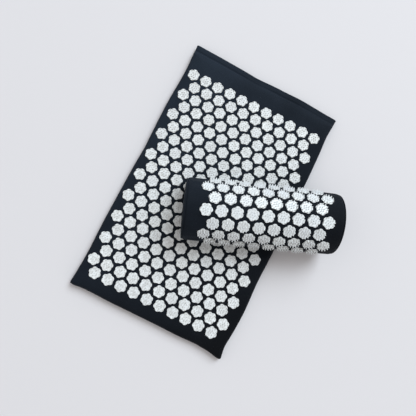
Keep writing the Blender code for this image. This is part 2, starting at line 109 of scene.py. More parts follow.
# How far past the end of a zip's window its cloth has closed, and how far in from a side of the mat the
# cloth beside the zip leaves the mat's uneven end and runs straight along the zip
WINDOW_CLOSE = 0.003
STRAIGHT_FROM, STRAIGHT_FULL = 0.003, 0.012

# Head end: how far from it the seam starts to rise and has risen to the zip, how far the hem's outer edge
# lies above the seam, and where the bottom panel turns straight, ends its flat and stops past the zip
SEAM_RISE = (0.031, 0.006)
HEM_LIFT = 0.0012
UNDER_STRAIGHT = 0.008
UNDER_FLAT = 0.004
UNDER_STOP = 0.003

# The bottom panel's way up to the zip: how far in from the zip's face, and how high
UNDER_LINE = [(0.0022, 0.0), (0.0008, 0.0003), (0.0, 0.0011)]

# Discs: a disc's breadth in the CAD as a share of the pitch, how deep a point's foot lies in its plate, and
# how much of a plate's border is free of painted shade. Painted shade darkens a plate's face and, most, the
# feet of its points, standing in for the shade among the points: how free of it the face and the feet are on
# the mat, on the pillow's lowest row in front and on its back, and the row from which they are that free
DISC_SHARE = 0.85
FOOT_DEPTH = 0.0001
UNSHADED_BORDER = 0.6
MAT_UNSHADED = (0.82, 0.1)
FRONT_UNSHADED = (0.65, 0.0)
BACK_UNSHADED = (0.935, 0.8)
UNSHADED_FROM = 2.4

# Painted sheen on the cotton, lighter and bluer towards the mat's head and left: the way it grows, and how
# far out from the middle it is complete
PAINTED_SHEEN_WAY = (-0.854, 0.52, 0)
PAINTED_SHEEN_REACH = 0.36

# Swells of the mat's edges: place along the edge, breadth, and how far the edge lies out there
LEFT_SWELLS = [(0.165, 0.055, 0.0022), (0.325, 0.035, 0.0028), (0.035, 0.035, -0.0018),
               (-0.265, 0.06, -0.0028)]
RIGHT_SWELLS = [(0.285, 0.035, -0.0028), (0.16, 0.04, 0.001), (-0.05, 0.06, 0.0026), (-0.215, 0.05, 0.0032),
                (-0.315, 0.025, -0.0038)]
HEAD_SWELLS = [(-0.165, 0.05, 0.0016), (-0.03, 0.035, -0.0028), (0.095, 0.035, 0.0015),
               (0.185, 0.035, -0.0022)]
FOOT_SWELLS = [(-0.195, 0.014, 0.0025), (-0.095, 0.04, 0.0009), (0.04, 0.05, -0.0008),
               (0.135, 0.035, -0.0026), (0.197, 0.016, 0.0032)]

# Corners of the mat: its side, its end, how far its tip is drawn out across and along, and its roundness
CORNERS = [
    (-1, 1, 0.0030, 0.0026, 0.0028),
    (1, 1, 0.002, -0.0015, 0.0035),
    (-1, -1, 0.0012, 0.0012, 0.0035),
    (1, -1, 0.003, 0.002, 0.006),
]

# The hem's crease: how far in from the end, its breadth, its unevenness and the length of that, and where
# it is shallower: place along the edge, breadth, and how much
CREASE_INSET = 0.0164
CREASE_WIDTH = 0.0040
CREASE_UNEVEN = 0.0005
CREASE_LENGTH = 0.03
CREASE_FILLS = [(-0.024, 0.036, 0.0021), (0.175, 0.055, 0.0023)]

# The empty hem at the head end, from the foam's edge to the zip: how far from the end, and how high
HEM_LINE = [
    (0.0340, 0.0228), (0.0295, 0.0225), (0.0245, 0.0206), (0.0205, 0.0169), (0.0180, 0.0143),
    (0.0160, 0.0135), (0.0142, 0.0143), (0.0115, 0.0148), (0.0055, 0.0147), (0.0022, 0.0142),
    (0.0007, 0.0128), (0.0004, 0.0112), (0.0020, 0.0103), (0.0043, 0.0103),
]

# Rings of points on a disc: share of its radius, and how many points
POINT_RINGS = [(0.40, 6), (0.83, 12)]

# Seeds of the small differences from disc to disc
DISC_SEEDS = {"mat": 11, "pillow": 23}

# The pillow's cover between its seam and the arch: how far in from the arch's side, how high above the seam
LOW_SIDE = [(0.0007, 0.006), (0.0001, 0.014)]

# Along the pillow: how far its cover ends from its rolled edges, and its groove there: how far in from that
# end, and how much of its depth
CAP_GAP = 0.0004
GROOVE_LINE = [(0.0, 1.0), (0.0007, 0.75), (0.0018, 0.32), (0.0034, 0.08), (0.006, 0.0)]

# Near a pillow's end: how far in its sides are drawn, and from where on its right end is fuller. How far in
# from an end and above a seam the pillow's cloth is held still, and how far below its top the mat's is
DRAW_REACH = 0.022
FULL_FROM = 0.14
END_HOLD = 0.009
SEAM_HOLD = 0.012
EDGE_HOLD = 0.004

# Rows of points from a seam to where the arch stands out fully, how far from its middle the base is fully
# drawn in near an end, and up to what height the groove there lifts it
RISE_ROWS = 6
BASE_DRAW = 0.06
BASE_GROOVE = 0.004

# Rings of an end panel: how far out of its edge, past the roll how much of the bulge too, and how far in.
# They draw in towards a place so far above the arch's centre, and at most by such a share of the way
ROLL_RINGS = [(0.0008, 0.0003), (0.0022, -0.0004), (0.0036, 0.0), (0.0047, 0.0012)]
FACE_RINGS = [(0.0, 0.0, 0.0030), (-0.0003, 0.0, 0.006), (0.0002, 0.0, 0.012), (0.0, 0.4, 0.022),
              (0.0, 0.75, 0.036), (0.0, 1.0, 0.055)]
FACE_MIDDLE = 0.012
FACE_SHARE = 0.94

# Tapes of a zip: room to the window's edge, how far they lie behind the cover's face and a slider's flanges
# in front of it, how far their cloth lies behind their CAD face, how uneven it is, its share of the CAD's
# thickness, and the places of its rows from edge to edge
TAPE_ROOM = 0.0003
FACE_ROOM = 0.00015
TAPE_SINK = 0.00008
TAPE_RIPPLE = 0.00006
TAPE_SHARE = 0.8
TAPE_ROWS = (0, 0.12, 0.3, 0.5, 0.7, 0.88, 1)

# Slider: room to the coils and tapes, thickness of its front plate, its flanges' share of the bevel, half the
# length and half the thickness of its post, how much its sides narrow and from what share of its half
# length on, and the crown's reach, its thickness and half its width, and half the height of its first block
CLEARANCE = 0.0003
PLATE = 0.00085
FLANGE_BEVEL = 0.7
POST = (0.0012, 0.0002)
NARROWING, NARROW_FROM = 0.09, 0.3
CROWN_REACH, CROWN_WALL, CROWN_THICK = 0.0026, 0.0006, 0.0001

# Pull: its pin's share of its thickness, the inner side and the end of its arms, the start of its tab and
# the roundness of its end as a share of its width, and its grips: how many, how far apart, how wide and how
# high, from what share of its length and over what share of its width. Last, the bevel of grips and post
PIN_SHARE = 0.9
ARM_INNER, ARM_END, TAB_START = 0.001, 0.0046, 0.0034
TAB_ROUND = 0.92
GRIPS, GRIP_PITCH, GRIP_WIDTH, GRIP_HEIGHT = 5, 0.0012, 0.0005, 0.00012
GRIP_FROM, GRIP_SPAN = 0.58, 0.7
SMALL_BEVEL = 0.00005

# From what angle on an edge is sharp: on plastic and foam, and on metal
SHARP = radians(40)
METAL_SHARP = radians(50)

# Stage: half the floor's side and how far it lies below the mat, tint of the light all round, the lamp's
# bearing in the plan, lift, distance, size and tint, and the camera's place and turn
FLOOR_HALF = 6
FLOOR_DROP = 0.0002
WORLD_TINT = (1.0, 0.97, 0.92)
KEY_WAY = (0.30, 0.955)
KEY_LIFT = radians(47)
KEY_DISTANCE = 12
KEY_SIZE = 7.2
KEY_TINT = (0.874, 0.964, 1.0)
CAMERA_PLACE = (-0.0181, -0.1508, 1.0365)
CAMERA_TURN = (radians(5.42), radians(-4.54), radians(27.10))


def length(name, description, default):
    return FloatProperty(name=name, description=description, default=default, unit="LENGTH", precision=5)


def angle(name, description, default):
    return FloatProperty(name=name, description=description, default=default, subtype="ANGLE")


def colour(name, description, default):
    return FloatVectorProperty(name=name, description=description, default=default, subtype="COLOR",
                               min=0, max=1)


class MatSizes(PropertyGroup):
    cloth: length("Cloth", "Thickness of the cotton cover", 0.0009)
    shoulder: length("Shoulder", "How far in from an edge the top has its full height", 0.0115)
    under_round: length("Under round", "How far in from an edge the underside is flat", 0.008)
    seam_height: length("Seam height", "Height of the seam that joins the panels", 0.0085)
    seam_groove: length("Seam groove", "How far the seam draws in between the panels", 0.0009)
    seam_gap: length("Seam gap", "Room between the edges of the two panels", 0.0002)
    field_step: length("Field step", "Size of a face in the flat of the top panel", 0.0068)
    swell_reach: length("Swell reach", "How far in a swell of the edge is felt", 0.04)
    corner_reach: length("Corner reach", "How far a drawn-out corner is felt", 0.022)
    pucker: length("Pucker", "Depth of the small puckers along a seam", 0.0006)
    wrinkle: length("Wrinkle", "Depth of the long wrinkles in the cover", 0.0007)
    puff: length("Puff", "The most that the cloth may rise between discs", 0.0013)
    foam_inset: length("Foam inset", "Room between the cover's edge and the foam", 0.0055)
    foam_round: length("Foam round", "Roundness of the foam's edges", 0.0095)
    hem_lap: length("Hem lap", "How far the hem's edge reaches over the bottom panel past the zip", 0.0008)


class DiscSizes(PropertyGroup):
    tip_radius: length("Tip radius", "From a disc's middle to the tip of a petal", 0.0152)
    lobe_radius: length("Lobe radius", "Radius of a petal's round end", 0.0069)
    petals: IntProperty(name="Petals", description="Petals on a disc", default=6)
    plate: length("Plate", "Thickness of a disc's plate", 0.0011)
    rim: length("Rim", "Width of the bevel round a plate", 0.0003)
    border: length("Border", "Width of the clean border round the points", 0.0027)
    dish: length("Dish", "How far a plate's face lies below its border", 0.00015)
    point: length("Point", "Height of a point above its plate", 0.0036)
    pillow_point: length("Pillow point", "Height of a point above its plate on the pillow", 0.0055)
    point_foot: length("Point foot", "Radius of a point at its foot", 0.0018)
    point_tip: length("Point tip", "Radius of a point at its tip", 0.00075)
    pillow_tip: length("Pillow tip", "Radius of a point at its tip on the pillow", 0.00115)
    pitch: length("Pitch", "From one disc of a row to the next", 0.0355)
    jitter: length("Jitter", "How far a disc may sit off its place", 0.0005)
    tilt: angle("Tilt", "How far a disc may lean", radians(0.6))
    seat: length("Seat", "Room between a plate and the cloth under it", 0.00004)


class PillowSizes(PropertyGroup):
    arch_radius: length("Arch radius", "Radius of the cover's arch", 0.075)
    shoulder: length("Shoulder", "Height of the arch's centre", 0.030)
    seam_height: length("Seam height", "Height of the seams along both sides", 0.008)
    seam_half: length("Seam half", "Half the pillow's width at those seams", 0.0735)
    base_round: length("Base round", "Roundness between the base and the seams", 0.007)
    half_length: length("Half length", "Half the pillow's length", 0.1863)
    end_roll: length("End roll", "Width of the rolled edge of an end panel", 0.0052)
    groove: length("Groove", "Depth of the groove inside a rolled edge", 0.0012)
    end_draw: length("End draw", "How far the sides draw in near an end", 0.002)
    bulge: length("Bulge", "How far an end panel swells", 0.0022)
    full_end: length("Full end", "How much further out the right end lies", 0.0045)
    full_lean: length("Full lean", "How much more than that at the back, and less in front", 0.0026)
    row_step: angle("Row step", "Turn from one row of discs to the next", radians(22.87))
    row_tilt: angle("Row tilt", "Turn of the middle row from upright", radians(-4))
    field_step: length("Field step", "Size of a face along the arch panel", 0.0062)
    puff: length("Puff", "The most that the cloth may rise between discs", 0.0014)
    wrinkle: length("Wrinkle", "Depth of the long wrinkles in the cover", 0.0006)
    foam_inset: length("Foam inset", "Room between the cover and the foam", 0.003)
    pucker: length("Pucker", "Depth of the small puckers beside an end", 0.0009)
    pucker_reach: length("Pucker reach", "How far in from an end the puckers are felt", 0.008)
    arch_rise: length("Arch rise", "How much further out the cloth lies over the arch than at a seam", 0.0005)


class ZipSizes(PropertyGroup):
    coil_pitch: length("Coil pitch", "From one turn of a coil to the next", 0.0014)
    wire: length("Wire", "Radius of the coil's thread", 0.00027)
    slot: length("Slot", "Half the room between the two coils", 0.00029)
    bevel: length("Bevel", "Roundness of the metal pieces' edges", 0.0002)


class Finishes(PropertyGroup):
    cotton: colour("Cotton", "Colour of the covers", (0.0043, 0.0048, 0.0059))
    # painted sheen: the lighter, bluer colour of the covers towards the mat's head and left, where the
    # light's sheen falls
    painted_sheen: colour("Faded", "Colour of the covers where they are faded", (0.0175, 0.0252, 0.0385))
    lint: colour("Lint", "Colour of the lint on the covers", (0.16, 0.17, 0.19))
    sheen: colour("Sheen", "Colour of the covers' sheen", (0.72, 0.83, 1.0))
    thread: length("Thread", "Width of a woven thread", 0.00045)
    plastic: colour("Plastic", "Colour of the spike discs", (0.905, 0.94, 0.985))
    # painted shade: the warm grey laid round the points' feet and over the plates' faces in place of the
    # shade there
    painted_shade: colour("Dust", "Colour of the spike discs round the feet of their points", (0.44, 0.435, 0.425))
    foam: colour("Foam", "Colour of the foam cores", (0.72, 0.70, 0.64))
    tape: colour("Tape", "Colour of the zip tapes", (0.014, 0.014, 0.016))
    coil: colour("Coil", "Colour of the zip coils", (0.02, 0.02, 0.022))
    metal: colour("Metal", "Colour of the enamelled sliders", (0.03, 0.03, 0.033))
    bare_metal: colour("Bare metal", "Colour of worn enamel", (0.25, 0.25, 0.26))


class Studio(PropertyGroup):
    floor: colour("Floor", "Colour of the floor", (0.787, 0.776, 0.824))
    world: FloatProperty(name="World", description="Strength of the light all round", default=0.555)
    key: FloatProperty(name="Key", description="Power of the large soft lamp in watts", default=1015)
    lens: FloatProperty(name="Lens", description="Focal length of the camera in mm", default=35)


# Small helpers

def smooth_step(low, high, value):
    share = min(1, max(0, (value - low) / (high - low)))
    return share * share * (3 - 2 * share)


def spread(start, end, step):
    """Places from start to end, about a step apart."""
    count = max(1, ceil(abs(end - start) / step))
    return [start + (end - start) * i / count for i in range(count + 1)]


def smooth_line(knots, steps):
    """Points on a smooth curve through the knots, with so many steps from each to the next."""
    ends = [knots[0], *knots, knots[-1]]
    line = [knots[0]]
    for before, start, end, after in zip(ends, knots, knots[1:], ends[3:]):
        first, second = start + (end - before) / 6, end - (after - start) / 6
        line += interpolate_bezier(start, first, second, end, steps + 1)[1:]
    return line


@cache
def local_box(node):
    """Lowest and highest corner of a CAD node, in the frame of its mat or pillow."""
    back = PLACES[node.split("_")[0]].inverted()
    points = [back @ vert.co for vert in frame["nodes"][node].data.vertices]
    return [Vector([pick(point[i] for point in points) for i in range(3)]) for pick in (min, max)]


def ripple(*place):
    return noise.noise(Vector(place))


def only(kind, items):
    return [item for item in items if isinstance(item, kind)]


def mesh_of(name, shape):
    """The mesh of a bmesh, which is freed."""
    mesh = bpy.data.meshes.new(name)
    shape.to_mesh(mesh)
    shape.free()
    return mesh


def link_object(name, data):
    item = bpy.data.objects.new(name, data)
    bpy.context.scene.collection.objects.link(item)
    return item


def finish_piece(name, shape, slot, body, *nodes, place=None):
    """Links a bmesh, moved to its place, as a piece that rides on a body in the place of CAD nodes."""
    if place:
        bmesh.ops.transform(shape, matrix=place, verts=shape.verts)
    piece = link_object(name, mesh_of(name, shape))
    piece.data.materials.append(finish_of(slot))
    piece.data.shade_smooth()
    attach(piece, body)
    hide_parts(*nodes)
    return piece


def bevel(shape, edges, offset, segments):
    bmesh.ops.bevel(shape, geom=edges, offset=offset, offset_type="OFFSET", affect="EDGES", segments=segments,
                    profile=0.5, material=-1)


def add_box(shape, low, high, rounding=0.0, segments=2):
    """Adds a box between two corners, with rounded edges."""
    low, high = Vector(low), Vector(high)
    part = bmesh.new()
    place = Matrix.Translation((low + high) / 2) @ Matrix.Diagonal((*(high - low), 1))
    bmesh.ops.create_cube(part, size=1, matrix=place)
    if rounding:
        bevel(part, part.edges[:], rounding, segments)
    merge_in(shape, part)


def add_mesh(shape, mesh):
    """Adds a mesh to a bmesh, and gives its points there."""
    before = len(shape.verts)
    shape.from_mesh(mesh)
    shape.verts.ensure_lookup_table()
    return shape.verts[before:]


def merge_in(shape, part):
    """Moves one bmesh into another."""
    mesh = mesh_of("part", part)
    add_mesh(shape, mesh)
    bpy.data.meshes.remove(mesh)


def grid_panel(columns, rows, point):
    """An open panel of cloth, one point for each column and row.

    The last value of a column and of a row is its place on the flat cut, which becomes a UV map in metres.
    """
    shape = bmesh.new()
    bmesh.ops.create_grid(shape, x_segments=len(columns) - 1, y_segments=len(rows) - 1, size=1)
    cut = shape.loops.layers.uv.new("cloth")
    cells = {}
    for vert in shape.verts:
        i = round((vert.co.x + 1) / 2 * (len(columns) - 1))
        j = round((vert.co.y + 1) / 2 * (len(rows) - 1))
        cells[vert] = columns[i], rows[j]
    for face in shape.faces:
        for loop in face.loops:
            column, row = cells[loop.vert]
            loop[cut].uv = column[-1], row[-1]
    for vert, (column, row) in cells.items():
        vert.co = point(column, row)
    return shape


def sweep(shape, axis, turn, steps, forward=0.0):
    """Sweeps a shape round an axis through the origin, and along X by a distance."""
    bmesh.ops.spin(shape, geom=shape.verts[:] + shape.edges[:] + shape.faces[:], cent=(0, 0, 0), axis=axis,
                   dvec=(forward / steps, 0, 0), angle=turn, steps=steps, use_merge=False,
                   use_duplicate=False)


def fill_ends(shape):
    """Closes every open end of a swept shape and turns its faces outwards."""
    bmesh.ops.holes_fill(shape, edges=shape.edges, sides=0)
    bmesh.ops.recalc_face_normals(shape, faces=shape.faces)


def finish_cloth(piece, thickness):
    """Smooths an open panel and gives it its cloth, on the inner side."""
    smooth = piece.modifiers.new("smooth", "SUBSURF")
    smooth.levels = smooth.render_levels = 1
    solid = piece.modifiers.new("cloth", "SOLIDIFY")
    solid.thickness = thickness
    solid.offset = -1


def swell_cloth(piece, pinned, most):
    """Simulates an open panel under light pressure from inside, and keeps each point within a distance."""
    group = piece.vertex_groups.new(name="pinned")
    group.add([index for index, still in enumerate(pinned) if still], 1.0, "REPLACE")
    cloth = piece.modifiers.new("swell", "CLOTH")
    cloth.settings.vertex_group_mass = "pinned"
    cloth.settings.use_pressure = True
    cloth.settings.uniform_pressure_force = PRESSURE
    cloth.settings.effector_weights.gravity = 0
    cloth.point_cache.frame_start, cloth.point_cache.frame_end = 1, SWELL_FRAMES
    for number in range(1, SWELL_FRAMES + 1):
        bpy.context.scene.frame_set(number)
    swollen = piece.evaluated_get(bpy.context.evaluated_depsgraph_get()).data
    places = [vert.co.copy() for vert in swollen.vertices]
    piece.modifiers.remove(cloth)
    bpy.context.scene.frame_set(1)
    for vert, place in zip(piece.data.vertices, places):
        moved = place - vert.co
        if moved.length > most:
            moved *= most / moved.length
        vert.co += moved
    piece.vertex_groups.remove(group)


# Materials

def plug(tree, node, inputs):
    """Gives a node its inputs: (socket name or number, value or output socket)."""
    for name, value in inputs:
        if isinstance(value, bpy.types.NodeSocket):
            tree.links.new(value, node.inputs[name])
        else:
            node.inputs[name].default_value = value


def add_node(tree, kind, inputs=(), **settings):
    node = tree.nodes.new(kind)
    for name, value in settings.items():
        setattr(node, name, value)
    plug(tree, node, inputs)
    return node


def maths(tree, operation, *values):
    return add_node(tree, "ShaderNodeMath", enumerate(values), operation=operation).outputs[0]


def blend_colours(tree, share, first, second, blend_type="MIX"):
    inputs = [("Factor", share)]
    for socket, value in ((6, first), (7, second)):
        inputs.append((socket, value if isinstance(value, bpy.types.NodeSocket) else (*value, 1)))
    return add_node(tree, "ShaderNodeMix", inputs, data_type="RGBA", blend_type=blend_type).outputs[2]


def ranged(tree, value, low, high, to_low, to_high):
    return add_node(tree, "ShaderNodeMapRange", enumerate((value, low, high, to_low, to_high))).outputs[0]


def mottle(tree, place, scale, detail=2.0):
    inputs = [("Vector", place), ("Scale", scale), ("Detail", detail)]
    return add_node(tree, "ShaderNodeTexNoise", inputs).outputs["Fac"]


def shade(colour_value, times):
    return tuple(min(1, channel * times) for channel in colour_value)


def start_material(name):
    """A new material, its node tree, its main shader and its object coordinates."""
    material = bpy.data.materials.new(name)
    material.use_nodes = True
    tree = material.node_tree
    places = add_node(tree, "ShaderNodeTexCoord")
    return material, tree, tree.nodes["Principled BSDF"], places.outputs["Object"]


def bumped(tree, height, distance, strength=1.0):
    inputs = [("Height", height), ("Distance", distance), ("Strength", strength)]
    return "Normal", add_node(tree, "ShaderNodeBump", inputs).outputs["Normal"]


def weave(tree, thread):
    """Plain weave in the cloth's own flat cut: its height, and 1 where the warp thread is on top."""
    cut = add_node(tree, "ShaderNodeUVMap", uv_map="cloth").outputs["UV"]
    across, along, _ = add_node(tree, "ShaderNodeSeparateXYZ", [("Vector", cut)]).outputs
    waves = []
    for direction in (across, along):
        turned = maths(tree, "MULTIPLY", direction, pi / thread)
        waves.append(maths(tree, "SINE", turned))
    crossing = maths(tree, "MULTIPLY", *waves)
    height = maths(tree, "POWER", maths(tree, "ABSOLUTE", crossing), 0.5)
    return height, maths(tree, "GREATER_THAN", crossing, 0)


def cotton_material(finishes):
    """Matt dark cotton: woven threads, with a painted sheen that makes it lighter and bluer towards the mat's
    head and left, a mottle and pale lint.
    """
    material, tree, shader, place = start_material("cotton")
    height, warp = weave(tree, finishes.thread)
    # painted sheen: the cover's colour blends to a lighter, bluer one along this way
    towards = [(0, place), (1, PAINTED_SHEEN_WAY)]
    along = add_node(tree, "ShaderNodeVectorMath", towards, operation="DOT_PRODUCT").outputs["Value"]
    painted_sheen_share = ranged(tree, along, -PAINTED_SHEEN_REACH, PAINTED_SHEEN_REACH, 0, 1)
    base = blend_colours(tree, painted_sheen_share, finishes.cotton[:], finishes.painted_sheen[:])
    uneven = maths(tree, "MULTIPLY", ranged(tree, mottle(tree, place, 9, 4), 0.35, 0.7, 0.9, 1.25),
                   ranged(tree, warp, 0, 1, 0.86, 1.14))
    grey = add_node(tree, "ShaderNodeCombineColor", [(i, uneven) for i in range(3)]).outputs[0]
    base = blend_colours(tree, 1.0, base, grey, "MULTIPLY")
    lint = ranged(tree, mottle(tree, place, 900, 1), 0.74, 0.80, 0, 0.35)
    slub = maths(tree, "MULTIPLY", mottle(tree, place, 420), 0.9)
    plug(tree, shader, [
        ("Base Color", blend_colours(tree, lint, base, finishes.lint[:])),
        ("Roughness", 0.62),
        ("Sheen Weight", 0.015),
        ("Sheen Roughness", 0.45),
        ("Sheen Tint", (*finishes.sheen, 1)),
        ("Specular IOR Level", 0.04),
        bumped(tree, maths(tree, "ADD", height, slub), 0.00016, 0.8),
    ])
    return material


def plastic_material(finishes):
    """Satin moulded plastic, a little unlike from disc to disc, with a speckled painted shade between its
    points.
    """
    material, tree, shader, place = start_material("spike_plastic")
    tone, unshaded = [add_node(tree, "ShaderNodeAttribute", attribute_name=name).outputs["Fac"]
                   for name in ("disc_tone", "disc_unshaded")]
    base = blend_colours(tree, tone, shade(finishes.plastic, 0.97), shade(finishes.plastic, 1.03))
    # painted shade: a mottled darkening of the plate round the points' feet, less where a place is freer of
    # it
    speckle = ranged(tree, mottle(tree, place, 190, 3), 0.38, 0.62, 0.1, 2.1)
    painted_shade = maths(tree, "MULTIPLY", maths(tree, "SUBTRACT", 1, unshaded), speckle)
    plug(tree, shader, [
        ("Base Color", blend_colours(tree, maths(tree, "MINIMUM", painted_shade, 1), base, finishes.painted_shade[:])),
        ("Roughness", ranged(tree, mottle(tree, place, 700), 0.3, 0.7, 0.30, 0.46)),
        bumped(tree, mottle(tree, place, 1500), 0.00004, 0.5),
    ])
    return material


def foam_material(finishes):
    """Open-cell foam: small pores, darkened in their middles by painted shade, in a pale, uneven body."""
    material, tree, shader, place = start_material("foam")
    cells = add_node(tree, "ShaderNodeTexVoronoi", [("Vector", place), ("Scale", 900)]).outputs["Distance"]
    # painted shade: 0 in a pore's middle, where the foam is darkened, and 1 on its walls
    painted_pore_shade = ranged(tree, cells, 0.1, 0.6, 0, 1)
    base = blend_colours(tree, painted_pore_shade, shade(finishes.foam, 0.7), finishes.foam[:])
    base = blend_colours(tree, mottle(tree, place, 30, 3), base, shade(finishes.foam, 0.92))
    plug(tree, shader, [("Base Color", base), ("Roughness", 0.95), bumped(tree, cells, 0.0004)])
    return material


def tape_material(finishes):
    """Black woven tape with ribs across it."""
    material, tree, shader, place = start_material("zip_tape")
    height, warp = weave(tree, finishes.thread * 0.7)
    base = blend_colours(tree, warp, shade(finishes.tape, 0.8), shade(finishes.tape, 1.35))
    total = maths(tree, "ADD", height, mottle(tree, place, 500))
    plug(tree, shader, [("Base Color", base), ("Roughness", 0.82), ("Sheen Weight", 0.1),
                        bumped(tree, total, 0.0001, 0.8)])
    return material


def coil_material(finishes):
    """Glossy black nylon with a drawn grain."""
    material, tree, shader, place = start_material("zip_coil")
    base = blend_colours(tree, mottle(tree, place, 300), shade(finishes.coil, 0.7), shade(finishes.coil, 1.5))
    gloss = ranged(tree, mottle(tree, place, 900), 0.3, 0.7, 0.3, 0.48)
    plug(tree, shader, [("Base Color", base), ("Roughness", gloss)])
    return material


def metal_material(finishes):
    """Dark enamel over zinc, rubbed in spots."""
    material, tree, shader, place = start_material("enamelled_zinc")
    worn = ranged(tree, mottle(tree, place, 650, 5), 0.60, 0.68, 0, 1)
    plug(tree, shader, [
        ("Base Color", blend_colours(tree, worn, finishes.metal[:], finishes.bare_metal[:])),
        ("Metallic", worn),
        ("Roughness", ranged(tree, mottle(tree, place, 200, 3), 0.3, 0.7, 0.25, 0.42)),
        bumped(tree, mottle(tree, place, 800), 0.00003, 0.5),
    ])
    return material


MAKERS = {
    "cotton_cover": cotton_material,
    "spike_plastic": plastic_material,
    "foam": foam_material,
    "zip_tape": tape_material,
    "zip_coil": coil_material,
    "zip_metal": metal_material,
}
made_materials = {}


def finish_of(slot):
    """The material of a slot, made once."""
    if slot not in made_materials:
        made_materials[slot] = MAKERS[slot](bpy.context.scene.mat_finishes)
    return made_materials[slot]


# Mat cover

def swell(swells, place):
    return sum(out * exp(-((place - middle) / breadth) ** 2) for middle, breadth, out in swells)


def mat_plan(sizes, x, y):
    """Where a point of the mat's straight plan lies on the real, uneven one."""
    half_x, half_y = MAT_CORNER.x, MAT_CORNER.y
    for side, end, out_x, out_y, roundness in CORNERS:
        if x * side <= 0 or y * end <= 0:
            continue
        over_x = (abs(x) - half_x + roundness) / roundness
        over_y = (abs(y) - half_y + roundness) / roundness
        if over_x > 0 and over_y > 0:
            x = side * (half_x - roundness + roundness * over_x * sqrt(1 - over_y**2 / 2))
            y = end * (half_y - roundness + roundness * over_y * sqrt(1 - over_x**2 / 2))
        from_tip = half_x - abs(x) + half_y - abs(y)
        drawn = exp(-max(0, from_tip) / sizes.corner_reach)
        shift_x, shift_y = side * out_x * drawn, end * out_y * drawn
        break
    else:
        shift_x = shift_y = 0

    def fade(inset):
        return exp(-((inset / sizes.swell_reach) ** 2))

    shift_x += swell(RIGHT_SWELLS, y) * fade(half_x - x) - swell(LEFT_SWELLS, y) * fade(half_x + x)
    shift_y += swell(HEAD_SWELLS, x) * fade(half_y - y) - swell(FOOT_SWELLS, x) * fade(half_y + y)
    return x + shift_x, y + shift_y


def along_zip(sizes, x, y, share):
    """A place on the uneven plan, moved back by a share to the straight line beside the zip."""
    planned_x, planned_y = mat_plan(sizes, x, y)
    straight = share * smooth_step(STRAIGHT_FROM, STRAIGHT_FULL, MAT_CORNER.x - abs(x))
    return planned_x, planned_y + (y - planned_y) * straight


def puckers(depth, along, out, reach, seed):
    """Small folds along a seam that die away inwards."""
    coarse, fine = PUCKER_LENGTHS
    return depth * (ripple(along / coarse, seed, 0) + 0.5 * ripple(along / fine, seed, 5)) * exp(-out / reach)


def edge_rings(half, shoulder, groove):
    """Stations from one edge inwards to the shoulder, as (place, share of the full height)."""
    rings = []
    for i in range(EDGE_STEPS + 1):
        turn = pi / 2 * (1 - i / EDGE_STEPS)
        rings.append((half - shoulder * (1 - sin(turn)), cos(turn)))
    rings[0] = (half - groove, 0)
    return rings


def with_window_ends(places, prefix):
    """The places along a panel, with closer ones at both ends of a zip's window."""
    ends = [way * (zip_half(prefix) + WINDOW_CLOSE * share) for way in (-1, 1) for share in (0, 0.5, 1)]
    kept = [place for place in places if all(abs(place - end) > WINDOW_CLOSE / 2 for end in ends)]
    return sorted(kept + ends)


def across_stations(half, shoulder, groove, step):
    """Columns across a panel from left to right, as (place, share of the full height, place on the cut)."""
    right = edge_rings(half, shoulder, groove)
    field = [(x, 1) for x in with_window_ends(spread(shoulder - half, half - shoulder, step)[1:-1], "mat")]
    stations = [(-x, share) for x, share in right] + field + right[::-1]
    return measured([Vector((x, 0, share * shoulder)) for x, share in stations], stations)


def measured(points, stations):
    """The stations with how far along the cloth each one lies from the middle."""
    lengths = [0.0]
    for before, after in zip(points, points[1:]):
        lengths.append(lengths[-1] + (after - before).length)
    return [(*station, flat - lengths[-1] / 2) for station, flat in zip(stations, lengths)]


def seam_level(sizes, y):
    """Height of the seam round the mat, which falls to the middle of the zip at the head end."""
    fall = zip_middle("mat").z - sizes.seam_height
    return sizes.seam_height + fall * smooth_step(*SEAM_RISE, MAT_CORNER.y - y)


def mat_top_rows(sizes):
    """Rows of the top panel from the foot's seam to the edge tucked in over the zip.

    Each is (place, full height, tuck): tuck runs from 0 at the hem's outer edge to 1 at the zip.
    """
    half = MAT_CORNER.y
    seam = sizes.seam_height
    rise = MAT_CORNER.z - seam
    rows = [(-y, seam + rise * share, 0) for y, share in edge_rings(half, sizes.shoulder, sizes.seam_groove)]
    hem = smooth_line([Vector((*knot, 0)) for knot in HEM_LINE], 2)
    field = spread(sizes.shoulder - half, half - hem[0].x, sizes.field_step)[1:-1]
    rows += [(y, MAT_CORNER.z, 0) for y in field]
    outer = min(range(len(hem)), key=lambda i: hem[i].x)
    for i, point in enumerate(hem):
        rows.append((half - point.x, point.y, max(0, (i - outer) / (len(hem) - 1 - outer))))
    return measured([Vector((0, y, height)) for y, height, _ in rows], rows)


